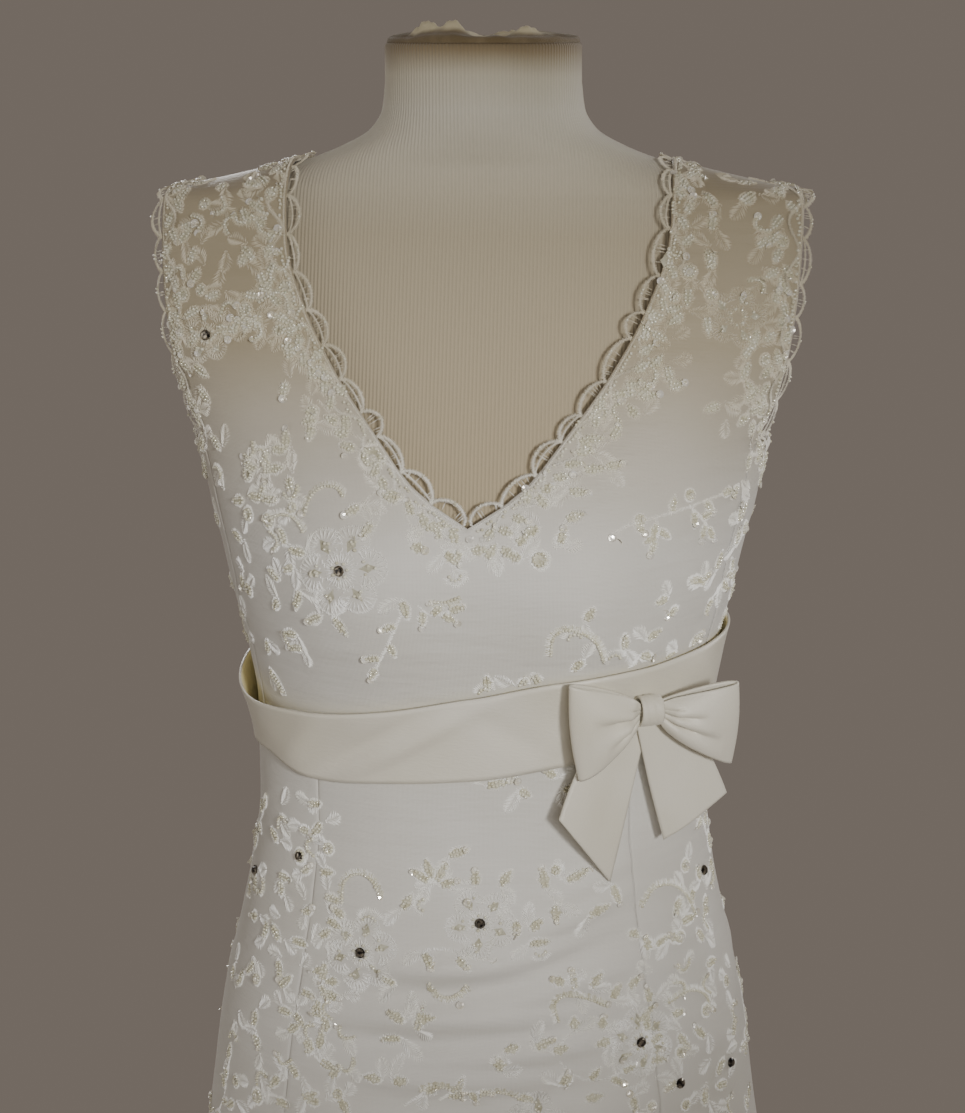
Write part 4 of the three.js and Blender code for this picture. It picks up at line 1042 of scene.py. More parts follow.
# The form and its stand
RIB_PITCH = 2.2
STAND_COLUMNS = 96
# The tufts of the cover's top: angle, height and spread
TUFTS = [(227, 8.5, 0.06), (250, 5.5, 0.008), (257, 3.5, 0.01), (307, 6, 0.045), (70, 5, 0.08)]
TUFTS += [(140, 4, 0.05)]
TUFTS_AT = 0.27
# The folded rim: its share of the way in, and the radii of its outside, its inside and the middle's edge
GATHER_RIM = 0.12
GATHER_RADII = (56.8, 55, 3)
GATHER_DROP = 2.6
GATHER_TALLEST = 17
# The form's rows in three runs and up the neck, and the cap on its top row: how far in and how far up
FORM_COLUMNS = 200
FORM_ROWS = [(800, 1250, 30), (1258, 1420, 24), (1423, 1500, 40)]
NECK_ROWS = [1505, 1515, 1526, 1535.8]
NECK_CAP = [(0.985, 1.5), (0.95, 2.9), (0.9, 3.7), (0.8, 4.0), (0.4, 4.0), (0.02, 4.0)]
NECK_CENTRE = 7


def make_form():
    """The form in its jersey, with the distance round it kept for the ribs."""
    heights = np.concatenate([*(np.linspace(*rows) for rows in FORM_ROWS), NECK_ROWS])
    angle, z = np.meshgrid(np.arange(FORM_COLUMNS + 1) * 360 / FORM_COLUMNS - 180, heights)
    rows = form.at(angle, z)
    steps = np.linalg.norm(np.diff(rows, axis=1), axis=-1)
    arc = np.concatenate([np.zeros((len(heights), 1)), np.cumsum(steps, axis=1)], axis=1)
    arc -= arc[:, FORM_COLUMNS // 2][:, None]
    top = rows[-1:, :-1]
    middle = np.array([0, NECK_CENTRE, NECK_TOP_Z - 4.2])
    cap = [(middle + (top - middle) * inset) + np.array([0, 0, rise]) for inset, rise in NECK_CAP]
    sheet = Sheet()
    index = sheet.add(np.concatenate([rows[:, :-1], *cap]))
    sheet.tube(index)
    rib = np.concatenate([arc[:, :-1], *[arc[-1:, :-1]] * len(NECK_CAP)])
    obj = mesh_object("form_jersey_body", sheet.points(), capped(sheet, index), JERSEY)
    point_values(obj, "rib", rib * 2 * math.pi / RIB_PITCH)
    return finish_piece(obj, "form_cover", "form_torso")


def make_gather():
    """The cover's top, folded in over the neck, with painted shade at its rim and its loose tufts in cream.
    """
    turn, share = np.meshgrid(np.linspace(0, 2 * math.pi, 241)[:-1], np.linspace(0, 1, 44))
    rim = np.clip(share / GATHER_RIM, 0, 1)
    outside, inside, edge = GATHER_RADII
    inward = mix(inside, edge, (share - GATHER_RIM) / (1 - GATHER_RIM))
    radius = np.where(share < GATHER_RIM, outside - (outside - inside) * rim**2, inward)
    pucker = 0.9 * np.sin(9 * turn + 0.6) + 0.7 * np.sin(16 * turn - 1.1) + 0.5 * np.sin(27 * turn)
    tuft = sum(
        tall * np.exp(-(((turn - math.radians(at) + math.pi) % (2 * math.pi) - math.pi) ** 2) / wide)
        for at, tall, wide in TUFTS
    )
    ruffle = 1 + 0.07 * np.sin(37 * turn) + 0.06 * np.sin(61 * turn + 1)
    tuft = tuft * ruffle * np.exp(-((share - TUFTS_AT) ** 2) / 0.004)
    roll = 1.5 * np.sin(3 * turn + 0.4) + 1.2 * np.sin(5 * turn - 0.9)
    height = 3.4 * rim**0.7 + (pucker * 0.7 + roll) * np.sin(share * math.pi) + tuft
    z = NECK_TOP_Z - GATHER_DROP + np.clip(height * 1.1, 0, GATHER_TALLEST)
    points = np.stack([radius * np.cos(turn), NECK_CENTRE + radius * np.sin(turn), z], -1)
    sheet = Sheet()
    index = sheet.add(points)
    sheet.tube(index)
    obj = mesh_object("form_jersey_gather", sheet.points(), capped(sheet, index), FOLDED_JERSEY_SHADED)
    # The painted light: 0 gives the brown painted shade of the rim, 1 the cream of the tufts.
    point_values(obj, "light", np.clip(tuft / 3 + (share - 0.32) * 3, 0, 1))
    return finish_piece(obj, "form_cover", "form_cover_gather")


def turned(name, profile, replaced):
    """A round piece of the stand from its profile of radius and height, bottom to top."""
    sheet = Sheet()
    index = sheet.add(np.array([ring(radius, z, STAND_COLUMNS) for radius, z in profile]))
    sheet.tube(index)
    obj = mesh_object(name, sheet.points(), capped(sheet, index), STAND)
    return finish_piece(obj, "stand_metal", replaced)


def make_stand():
    """The base, the socket on it and the upright, each from its radius and height."""
    base = [(168.5, 0), (169.7, 0.5), (170, 1.4), (170, 4.6), (169, 6.6), (166.5, 8.2), (163, 9)]
    base += [(110, 10.3), (60, 11.5), (35, 12), (8, 12)]
    turned("stand_round_base", base, "stand_base")
    hub = [(30.6, 12.3), (31, 12.8), (30.6, 14), (27, 27), (23.6, 40), (23, 41.4), (22, 42), (17, 42)]
    turned("stand_socket", hub, "stand_hub")
    pole = [(15.9, 42.3), (16, 42.6), (16, 799.4), (15.9, 799.7)]
    turned("stand_upright", pole, "stand_pole")


# The covered buttons down the back opening, each in its cord loop
BUTTON_HEIGHTS = [1366, 1336, 1306, 1276, 1246, 1216, 1186, 1096, 1066, 1036, 1006]
BUTTON_LIFT = 0.7
# radius, height
BUTTON_PROFILE = [(4.1, -0.7), (4.8, 0.1), (5, 1), (4.85, 2), (4.3, 3), (3.2, 3.85), (1.7, 4.3)]
BUTTON_PROFILE += [(0.1, 4.4)]
BUTTON_COLUMNS = 28
LOOP_RADIUS = 5.75
LOOP_CORD = 0.6
LOOP_TURN = 128
LOOP_FEET = (-9.5, 1.8)
BACK_ROUND = 220


def button_loop():
    """The loop's path beside its button: across, up and off the cloth."""
    turn = np.radians(np.linspace(-LOOP_TURN, LOOP_TURN, 33))
    arc = LOOP_RADIUS * np.stack([np.cos(turn), np.sin(turn)], -1)
    far, half = LOOP_FEET
    path = np.concatenate([[[far, -half]], arc, [[far, half]]])
    return np.column_stack([path, CLOTH + LOOP_CORD * 0.8 - path[:, 0] ** 2 / BACK_ROUND])


def tube(sheet, path, radius, sides, out):
    """A round cord along a path, with the direction off the cloth given."""
    ahead = unit(np.gradient(path, axis=0))
    beside = unit(np.cross(out, ahead))[:, None]
    turn = (np.arange(sides) * 2 * math.pi / sides)[None, :, None]
    sheet.tube(sheet.add(path[:, None] + radius * (np.cos(turn) * beside + np.sin(turn) * out)))


def make_buttons():
    turn = np.arange(BUTTON_COLUMNS) * 2 * math.pi / BUTTON_COLUMNS
    across = np.array([-1.0, 0, 0])
    for number, z in enumerate(BUTTON_HEIGHTS, 1):
        seat = dress.at(180.0, float(z))
        rise = unit(dress.at(180.0, z + 0.5) - dress.at(180.0, z - 0.5))
        normal = unit(np.cross(across, rise))
        circle = np.outer(np.cos(turn), across) + np.outer(np.sin(turn), rise)
        sheet = Sheet()
        foot = CLOTH + BUTTON_LIFT
        rings = [seat + normal * (foot + up) + radius * circle for radius, up in BUTTON_PROFILE]
        index = sheet.add(np.array(rings))
        sheet.tube(index)
        a, b, lift = button_loop().T[..., None]
        tube(sheet, seat - across * a + rise * b + normal * lift, LOOP_CORD, 8, normal)
        name = f"button_{number:02d}"
        obj = mesh_object(name + "_covered", sheet.points(), capped(sheet, index), SATIN)
        finish_piece(obj, "sash_satin", name)


# Lace and beads, laid on the cloth as small marks
STITCH_WIDTH = 0.72
STITCH_RISE = 0.85
BEAD_RADIUS = 1.1
SEQUIN_RADIUS = 2.4
STONE_RADIUS = 3.3
COMB_PITCH = 0.95
REACH = 40


def ring(radius, height, sides, turn=0):
    angle = np.arange(sides) * 2 * math.pi / sides + turn
    return np.stack([radius * np.cos(angle), radius * np.sin(angle), np.full(sides, height)], -1)


def bands(rings, sides):
    """Four-sided faces between rings of points."""
    faces = []
    for k in range(rings - 1):
        for i in range(sides):
            j = (i + 1) % sides
            faces.append((k * sides + i, k * sides + j, (k + 1) * sides + j, (k + 1) * sides + i))
    return faces


def fan_faces(start, centre, sides):
    return [(start + i, start + (i + 1) % sides, centre) for i in range(sides)]


# Each mark's points for a radius of 1, its quads and triangles
BEAD_SHAPE = (
    np.concatenate([ring(0.92, 0.05, 6), ring(0.78, 1.0, 6, 0.5), [[0, 0, 1.45]]]),
    bands(2, 6),
    fan_faces(6, 12, 6),
)
SEQUIN_SHAPE = (
    np.concatenate([ring(1, 0.55, 10), ring(0.55, 0.18, 10), [[0, 0, 0.14]]]),
    bands(2, 10),
    fan_faces(10, 20, 10),
)
STONE_SHAPE = (
    np.concatenate([ring(0.85, 0, 10), ring(1, 0.3, 10), ring(0.62, 0.72, 10, 0.31), [[0, 0, 0.74]]]),
    bands(3, 10),
    fan_faces(20, 30, 10),
)


class Work:
    """The marks of one piece of lace, kept until its mesh is made."""

    def __init__(self, name):
        self.name = name
        self.stitches = []
        self.grounds_and_shade = []
        self.marks = {"bead": [], "sequin": [], "stone": []}

    def stitch(self, first, last, normal, width=STITCH_WIDTH, rise=STITCH_RISE):
        self.stitches.append((*first, *last, *normal, width, rise))

    def mark(self, kind, point, normal, radius):
        tilt = 0.5 if kind == "sequin" else 0.05
        lean = rng.normal(0, tilt, 3)
        self.marks[kind].append((*point, *(np.array(normal) + lean), radius, rng.uniform(0, 2 * math.pi)))

    def ground_and_shade(self, first, last, normal, width, rise):
        self.grounds_and_shade.append((*first, *last, *normal, width, rise))

    def thread_mesh(self, stitches):
        rows = np.array(stitches)
        first, last, normal = rows[:, :3], rows[:, 3:6], unit(rows[:, 6:9])
        beside = unit(np.cross(normal, last - first)) * rows[:, 9:10] / 2
        middle = (first + last) / 2
        crest = middle + normal * rows[:, 10:11]
        points = np.stack([first, last, middle - beside, middle + beside, crest], 1)
        faces = np.array([(0, 2, 4), (2, 1, 4), (1, 3, 4), (3, 0, 4)])
        offsets = (np.arange(len(rows)) * 5)[:, None, None]
        return points.reshape(-1, 3), [(faces[None] + offsets).reshape(-1, 3)]

    def mark_mesh(self, kind, shape):
        rows = np.array(self.marks[kind])
        template, quads, triangles = shape
        normal = unit(rows[:, 3:6])
        helper = np.where(np.abs(normal[:, 2:]) < 0.9, [[0, 0, 1.0]], [[1.0, 0, 0]])
        side = unit(np.cross(helper, normal))
        along = np.cross(normal, side)
        c, s = np.cos(rows[:, 7:8]), np.sin(rows[:, 7:8])
        side, along = side * c + along * s, along * c - side * s
        points = rows[:, None, :3] + rows[:, 6, None, None] * (
            template[None, :, 0:1] * side[:, None]
            + template[None, :, 1:2] * along[:, None]
            + template[None, :, 2:3] * normal[:, None]
        )
        offsets = (np.arange(len(rows)) * len(template))[:, None, None]
        return points.reshape(-1, 3), [
            (np.array(part)[None] + offsets).reshape(-1, len(part[0])) for part in (quads, triangles)
        ]

    def make(self):
        """One mesh of all the marks, with a material for each kind."""
        parts = []
        if self.stitches:
            parts.append((*self.thread_mesh(self.stitches), 0, False))
        # The pads under the beads take the ground's olive tone with painted shade.
        if self.grounds_and_shade:
            parts.append((*self.thread_mesh(self.grounds_and_shade), 4, True))
        for number, (kind, shape, smooth) in enumerate(
            (("bead", BEAD_SHAPE, True), ("sequin", SEQUIN_SHAPE, False), ("stone", STONE_SHAPE, False)), 1
        ):
            if self.marks[kind]:
                parts.append((*self.mark_mesh(kind, shape), number, smooth))
        points, faces, index, smooths, start = [], [], [], [], 0
        for block, groups, number, smooth in parts:
            points.append(block)
            for group in groups:
                faces.extend((group + start).tolist())
                index.extend([number] * len(group))
                smooths.extend([smooth] * len(group))
            start += len(block)
        obj = mesh_object(self.name, np.concatenate(points), faces, THREAD)
        for material in (BEAD, SEQUIN, STONE, GROUND_AND_SHADE):
            obj.data.materials.append(material)
        obj.data.polygons.foreach_set("material_index", index)
        obj.data.polygons.foreach_set("use_smooth", smooths)
        return obj


def smooth_path(path, rounds=3):
    """Rounds the corners of an open path and keeps its ends."""
    path = np.array(path, float)
    for _ in range(rounds):
        cut = np.stack([mix(path[:-1], path[1:], share) for share in (0.25, 0.75)], 1)
        cut = cut.reshape(-1, path.shape[1])
        path = np.concatenate([path[:1], cut[1:-1], path[-1:]])
    return path


def even_steps(path, pitch):
    """Points a pitch apart along a path."""
    lengths = np.concatenate([[0], np.cumsum(np.linalg.norm(np.diff(path, axis=0), axis=1))])
    goals = np.linspace(0, lengths[-1], max(2, round(lengths[-1] / pitch) + 1))
    return np.stack([np.interp(goals, lengths, path[:, k]) for k in range(path.shape[1])], -1)


def cloth_hit(start, direction, *reach):
    """The cloth's point and normal along a ray, or nothing if the ray misses it or meets the sash first."""
    hit, normal, index, _ = COVER.ray_cast(Vector(start), Vector(direction), *reach)
    if hit is None or index >= CLOTH_FACES:
        return None
    return np.array(hit), np.array(normal)


class Patch:
    """A flat frame against the cloth, from which marks are laid straight down on it."""

    def __init__(self, work, seat, turn=0, size=1):
        point, normal = seat
        self.work = work
        self.point = point
        self.normal = normal
        level = unit(np.array([-normal[1], normal[0], 0]) + 1e-9)
        rise = np.cross(normal, level)
        c, s = math.cos(math.radians(turn)), math.sin(math.radians(turn))
        self.u = (level * c + rise * s) * size
        self.v = (rise * c - level * s) * size

    def down(self, a, b):
        """The cloth's point and normal under a place of the frame, or nothing past its edge."""
        start = self.point + self.u * a + self.v * b + self.normal * REACH
        return cloth_hit(start, -self.normal, 2 * REACH)

    def local(self, point):
        away = point - self.point
        size = self.u @ self.u
        return np.array([away @ self.u / size, away @ self.v / size])

    def line(self, draw, a, b, heading, length, width, rise):
        """Lays a stitch or a pad on the cloth, unless its ends fall on different folds."""
        c, s = math.cos(heading) * length / 2, math.sin(heading) * length / 2
        first, last = self.down(a - c, b - s), self.down(a + c, b + s)
        if first and last and np.linalg.norm(last[0] - first[0]) < length * 2 + 1:
            draw(first[0], last[0], first[1] + last[1], width, rise)

    def stitch(self, a, b, heading, length, width=STITCH_WIDTH, rise=STITCH_RISE):
        self.line(self.work.stitch, a, b, heading, length, width, rise)

    def ground_and_shade(self, a, b, heading, length, width, rise=0.75):
        """A raised pad under beads, as one wide stitch, in the net's olive tone with painted shade."""
        self.line(self.work.ground_and_shade, a, b, heading, length, width, rise)

    def mark(self, kind, a, b, radius):
        under = self.down(a, b)
        if under:
            self.work.mark(kind, *under, radius)

    def bead(self, a, b):
        self.mark("bead", a, b, BEAD_RADIUS * rng.uniform(0.85, 1.15))

    def sequin(self, a, b):
        self.mark("sequin", a, b, SEQUIN_RADIUS * rng.uniform(0.9, 1.1))

    def stone(self, a, b):
        self.mark("stone", a, b, STONE_RADIUS)

    def comb(self, path, length, pitch=COMB_PITCH, lean=0):
        """Short stitches across a path."""
        steps = even_steps(np.array(path), pitch)
        headings = np.arctan2(*np.gradient(steps, axis=0).T[::-1])
        for (a, b), heading in zip(steps, headings):
            across = heading + math.pi / 2 + lean + rng.normal(0, 0.16)
            shift = rng.normal(0, 0.12, 2)
            self.stitch(a + shift[0], b + shift[1], across, length * rng.uniform(0.8, 1.2))

    def scribble(self, inner, outer, count, length=2.2):
        """Loose stitches in every direction, in a ring round the frame's middle."""
        for _ in range(count):
            reach = math.sqrt(rng.uniform(inner**2, outer**2))
            turn = rng.uniform(0, 2 * math.pi)
            a, b = reach * math.cos(turn), reach * math.sin(turn)
            self.stitch(a, b, rng.uniform(0, math.pi), length * rng.uniform(0.6, 1.3), 0.75)

    def rays(self, inner, outer, first, last, pitch=1.0, petals=0):
        """Long stitches side by side, pointing away from the middle."""
        count = max(3, round((inner + outer) / 2 * abs(last - first) / pitch))
        for turn in np.linspace(first, last, count):
            lobe = 0.86 + 0.14 * math.cos(petals * turn) if petals else rng.uniform(0.94, 1.06)
            near, far = inner * rng.uniform(0.94, 1.06), outer * lobe * rng.uniform(0.96, 1.04)
            middle = (near + far) / 2
            heading = turn + rng.normal(0, 0.06)
            self.stitch(*(middle * towards_turn(turn)), heading, far - near, 1.0, 0.85)

    def leaf(self, a, b, heading, length=13, width=6.6, sequin=True):
        """A leaf of clear beads on a ground of olive net and painted shade, with stitches round it, from its
        foot.
        """
        heading = math.radians(heading)
        along = towards_turn(heading)
        beside = np.array([-along[1], along[0]])
        share = np.linspace(0, 1, 9)
        half = width / 2 * np.sin(math.pi * share**0.8) ** 0.8
        foot = np.array([a, b])
        for middle, long, wide in ((0.5, 0.96, 0.8), (0.42, 0.7, 1.15)):
            self.ground_and_shade(*(foot + along * length * middle), heading, length * long, width * wide)
        for side in (-1, 1):
            edge = foot + np.outer(share * length, along) + np.outer(side * half, beside)
            self.comb(edge, 2.9, 1.15, side * 0.55)
        for step in np.arange(2, length - 1.4, 2.05):
            room = width / 2 * math.sin(math.pi * (step / length) ** 0.8) ** 0.8 - 0.7
            spots = (-1.15, 1.15) if room > 1.1 else (0,)
            for spot in spots:
                place = foot + along * (step + rng.normal(0, 0.2)) + beside * (spot + rng.normal(0, 0.15))
                self.bead(*place)
        if sequin:
            self.sequin(*(foot + along * length * rng.uniform(0.78, 1.0)))

    def fern(self, heading, length=15):
        """A curved spray of thread alone, wider towards its middle."""
        heading = math.radians(heading)
        share = np.linspace(0, 1, 12)
        bend = rng.choice([-1, 1]) * rng.uniform(0.15, 0.35)
        spine = np.stack([share * length, bend * length * share**2], -1)
        c, s = math.cos(heading), math.sin(heading)
        spine = spine @ np.array([[c, s], [-s, c]])
        steps = even_steps(spine, 1.25)
        ahead = np.gradient(steps, axis=0)
        ways = np.arctan2(ahead[:, 1], ahead[:, 0])
        for place, way, part in zip(steps, ways, np.linspace(0, 1, len(steps))):
            reach = 1.6 + 4.6 * math.sin(math.pi * part**0.8)
            for side in (-1, 1):
                lean = way + side * rng.uniform(0.75, 1.0)
                spot = place + reach / 2 * towards_turn(lean)
                self.stitch(*spot, lean, reach, 0.85, 0.95)

    def stem(self, path):
        self.comb(smooth_path(path), 2.6, 0.9, 0.25)

    def scroll(self, path, width=5):
        """A curl of stitches with beads along its inside and a sequin at its end."""
        curve = smooth_path(path)
        # Pads of olive ground with painted shade under the curl's beads.
        pads = even_steps(curve, 4)
        for first, last in zip(pads[:-1], pads[1:]):
            self.ground_and_shade(*((first + last) / 2), math.atan2(*(last - first)[::-1]), 7, width * 0.8, 0.5)
        self.comb(curve, width, 0.75, 0.2)
        steps = even_steps(curve, 2.1)
        ahead = np.gradient(steps, axis=0)
        beside = unit(np.stack([-ahead[:, 1], ahead[:, 0]], -1))
        bend = np.sign(np.cross(curve[-1] - curve[0], curve[len(curve) // 2] - curve[0]))
        for place in steps - beside * bend * (width * 0.34):
            self.bead(*place)
        self.sequin(*steps[-1])

    def rosette(self, radius=7.5):
        """A round of beads inside a ring of outward stitches."""
        # Pads of olive ground with painted shade under the round of beads.
        for turn in (0, math.pi / 3, -math.pi / 3):
            self.ground_and_shade(0, 0, turn, radius * 1.5, radius * 1.3)
        self.rays(radius * 0.62, radius * 1.05, 0, 2 * math.pi, 0.85)
        self.scribble(0, radius * 0.5, round(radius * 2.2), 1.8)
        count = round(2 * math.pi * radius * 0.55 / 2)
        for k in range(count):
            turn = 2 * math.pi * k / count
            self.bead(*(radius * 0.55 * towards_turn(turn)))
        self.sequin(radius * 0.1, -radius * 0.08)

    def flower(self, radius, petals, stone=True):
        """A large flower: petals edged with long stitches, then loose stitches, beads and a stone."""
        for k in range(petals):
            turn = 2 * math.pi * k / petals
            middle = radius * 0.6 * towards_turn(turn)
            wide = radius * 0.4
            for side in np.linspace(-1.9, 1.9, 13):
                way = turn + side
                near = middle + wide * 0.42 * towards_turn(way)
                far = middle + wide * 1.06 * towards_turn(way)
                self.stitch(*((near + far) / 2), way + rng.normal(0, 0.08), wide * 0.66, 1.05, 1.15)
            arc = np.array([middle + wide * towards_turn(turn + t) for t in np.linspace(-2, 2, 15)])
            self.comb(arc, 2.4, 1.15, 0.5)
            # A pad of olive ground with painted shade under the petal's beads.
            self.ground_and_shade(*(middle * 1.02), turn, wide * 1.0, wide * 0.62)
            for spot in rng.normal(0, wide * 0.2, (4, 2)):
                self.bead(*(middle + spot))
            if k % 2:
                self.sequin(*(middle * 1.2))
        self.rays(radius * 0.16, radius * 0.4, 0, 2 * math.pi, 1.5)
        self.scribble(radius * 0.2, radius * 0.5, round(radius * 2.4), 2.6)
        for turn in np.arange(7) * 2 * math.pi / 7:
            self.bead(*(4.6 * towards_turn(turn)))
        if stone:
            self.stone(0, 0)

    def fan(self, radius, first, last):
        """Part of a round of stitches, with beads at its foot."""
        first, last = math.radians(first), math.radians(last)
        self.rays(radius * 0.55, radius, first, last, 1.0)
        for turn in np.linspace(first, last, max(3, round((last - first) * radius * 0.45 / 2))):
            self.bead(*(radius * 0.42 * towards_turn(turn)))

    def sprig(self, path, leaves=3, length=10.5):
        """A stem with leaves on both sides and one at its end."""
        curve = smooth_path(path)
        self.comb(curve, 2.6, 0.9, 0.25)
        steps = even_steps(curve, 1.0)
        ahead = np.degrees(np.arctan2(*np.gradient(steps, axis=0).T[::-1]))
        for k in range(leaves):
            i = round((k + 0.7) * (len(steps) - 1) / (leaves + 0.3))
            side = 1 if k % 2 else -1
            self.leaf(*steps[i], ahead[i] + side * rng.uniform(42, 62), length, 4.8, rng.random() < 0.6)
        self.leaf(*steps[-1], ahead[-1], length, 4.8)

    def spray(self, size=1.0):
        """A loose group of flower, curl and sprigs, for the parts that the photograph doesn't show."""
        self.rosette(7.5 * size)
        start = rng.uniform(0, 360)
        for k, spread_angle in enumerate((0, 118, 236)):
            way = math.radians(start + spread_angle + rng.uniform(-15, 15))
            ray = towards_turn(way)
            beside = np.array([-ray[1], ray[0]]) * rng.choice([-1, 1])
            path = [ray * 9 * size, ray * 19 * size + beside * 4, ray * 30 * size + beside * 1.5]
            if k < 2:
                self.sprig(path, 2, 10)
            else:
                curl = [ray * 11, ray * 17 + beside * 6, ray * 25 + beside * 5, ray * 28 - beside * 2]
                self.scroll(curl, 3.8)


def seat_by_ray(x, y):
    """The cloth under one place of the photograph."""
    place, direction = pixel_ray(x, y)
    return cloth_hit(place, direction)


def seat_at(angle, z):
    """The cloth at an angle round the dress and a height."""
    middle = np.array([0, float(dress.centre(z)), z])
    far = dress.at(angle, z) - middle
    away = unit(far * np.array([1, 1, 0]))
    start = middle + away * (np.linalg.norm(far) + 60)
    return cloth_hit(start, -away, 120)


def photo_patch(work, x, y):
    seat = seat_by_ray(x, y)
    return Patch(work, seat) if seat else None


def photo_path(patch, points):
    """Places of the photograph in a patch's own millimetres."""
    seats = [seat_by_ray(x, y) for x, y in points]
    return np.array([patch.local(seat[0]) for seat in seats if seat])


# The larger flowers, as in the model: name, x, z, side, radius, petals, turn, whether it has a stone
FLOWERS = [
    ("lace_flower_01", -72, 1248, FRONT, 27, 6, 10, True),
    ("lace_flower_02", -157, 1372, FRONT, 17, 5, 30, True),
    ("lace_flower_03", 150, 1385, FRONT, 18, 5, 0, False),
    ("lace_flower_04", -66, 1008, FRONT, 23, 6, 20, True),
    ("lace_flower_05", 6, 1031, FRONT, 21, 5, 50, True),
    ("lace_flower_06", 102, 953, FRONT, 22, 6, 35, True),
    ("lace_flower_07", 42, 905, FRONT, 20, 5, 15, True),
    ("lace_flower_08", -60, 1240, BACK, 24, 6, 25, True),
    ("lace_flower_09", 72, 1330, BACK, 20, 5, 40, False),
    ("lace_flower_10", 62, 1000, BACK, 22, 6, 5, True),
    ("lace_flower_11", -70, 940, BACK, 21, 5, 45, True),
]

# Places in the photograph, in its pixels. x and y of a leaf's foot, heading, length
BODICE_LEAVES = [
    (345, 414, -82, 12), (318, 418, 200, 9), (312, 424, -95, 9), (262, 498, 178, 11),
    (262, 498, 2, 12), (258, 470, 165, 11), (262, 466, 70, 11), (268, 470, 15, 11),
    (285, 452, 95, 12), (306, 554, 176, 12), (294, 566, 205, 9), (280, 580, 155, 11),
    (279, 600, 222, 9), (300, 590, 245, 13), (333, 616, -60, 13), (322, 616, 205, 13),
    (297, 634, 190, 12), (268, 640, 245, 10), (303, 648, 190, 12), (270, 668, -52, 17),
    (360, 505, 215, 10), (384, 492, -15, 11), (372, 522, 240, 10), (402, 600, -75, 11),
    (424, 528, 8, 12), (444, 552, -40, 10), (452, 566, 60, 9), (410, 545, -20, 10),
    (455, 545, 100, 9), (470, 552, 10, 10), (486, 560, 60, 10), (500, 548, -30, 10),
    (516, 545, 40, 10), (522, 560, 160, 9), (560, 545, 75, 10), (565, 520, 20, 11),
    (548, 508, 130, 10), (583, 470, 5, 12), (605, 468, 15, 11), (590, 452, 120, 10),
    (612, 440, 60, 9), (640, 398, 10, 10), (580, 425, 150, 10), (568, 492, 0, 11),
    (540, 528, 200, 10), (668, 598, 190, 9), (678, 606, 215, 9), (700, 585, 35, 11),
    (702, 580, 170, 12), (716, 570, 70, 11), (722, 582, -30, 11), (712, 598, 240, 10),
    (735, 545, 80, 10), (738, 522, 95, 10), (690, 645, 30, 11), (676, 652, 200, 10),
    (646, 640, 25, 11), (640, 655, -20, 10), (625, 650, 100, 10), (585, 622, 60, 9),
    (584, 660, 230, 9), (488, 690, 95, 9), (520, 688, 60, 8), (540, 684, 120, 8),
]
BODICE_SPRIGS = [
    ((608, 537), (632, 522), (655, 518), (690, 507), (722, 494)),
    ((655, 518), (660, 530), (656, 540)),
    ((402, 612), (390, 640), (376, 668)),
    ((690, 507), (702, 518), (708, 528)),
    ((418, 606), (430, 618), (448, 612)),
]
BODICE_STEMS = [
    ((318, 400), (338, 424), (362, 440)),
    ((376, 470), (380, 488), (360, 505)),
    ((380, 488), (382, 512), (372, 535)),
    ((404, 505), (410, 528), (424, 536)),
    ((600, 420), (590, 445), (566, 478), (545, 500)),
]
BODICE_SCROLLS = [
    ((345, 494), (338, 484), (322, 483), (308, 494), (302, 514)),
    ((305, 530), (298, 516), (282, 510), (264, 518)),
    ((548, 655), (549, 636), (562, 627), (580, 628), (600, 640), (606, 660)),
    ((258, 300), (275, 288), (290, 294), (292, 312)),
    ((460, 600), (445, 606), (430, 604)),
]
BODICE_ROSETTES = [(372, 457, 9), (540, 560, 6.5), (600, 412, 6.5), (312, 412, 5), (640, 520, 4.5)]
BODICE_ROSETTES += [(690, 495, 4.5)]
BODICE_FANS = [
    (575, 640, 9, 30, 170), (485, 694, 8, 10, 170), (455, 575, 8, 200, 350), (614, 660, 9, 20, 150),
    (290, 640, 9, 150, 280),
]
SKIRT_LEAVES = [
    (448, 856, 22, 12), (430, 882, 150, 13), (432, 880, 108, 12), (436, 882, 62, 12),
    (440, 886, 20, 10), (476, 886, 95, 9), (500, 886, 55, 11), (546, 890, 100, 13),
    (566, 882, 28, 14), (588, 916, 18, 14), (612, 884, -72, 12), (528, 944, 5, 12),
    (456, 958, -38, 10), (424, 952, -60, 11), (530, 930, 40, 9), (556, 904, -92, 10),
    (516, 920, -85, 9), (345, 918, 150, 10), (402, 910, 60, 11), (396, 985, 150, 10),
    (405, 1022, 160, 12), (414, 1020, 12, 12), (402, 1038, 188, 12), (416, 1030, 70, 11),
    (382, 1080, 178, 11), (392, 1082, 10, 9), (424, 1092, 30, 9), (318, 1050, 80, 12),
    (314, 1052, 140, 10), (575, 990, 95, 11), (590, 988, 45, 11), (566, 984, 160, 9),
    (575, 1030, 95, 8), (602, 1030, 80, 8), (520, 1046, 200, 10), (535, 1048, 22, 12),
    (552, 1052, 10, 10), (500, 1072, 95, 9), (612, 1000, 60, 10), (628, 988, 35, 10),
    (640, 1022, 40, 12), (650, 1044, 30, 10), (612, 1040, 190, 10), (632, 1096, -80, 9),
    (560, 1086, 60, 10), (585, 1100, 10, 11), (535, 1100, 170, 11), (486, 786, 12, 12),
    (508, 782, 60, 8), (556, 778, 140, 9), (562, 788, -20, 10), (518, 790, -30, 8),
    (655, 945, 20, 11), (650, 950, 110, 9), (668, 935, -30, 10), (640, 935, 160, 8),
    (690, 905, 60, 10), (700, 880, 100, 9),
]
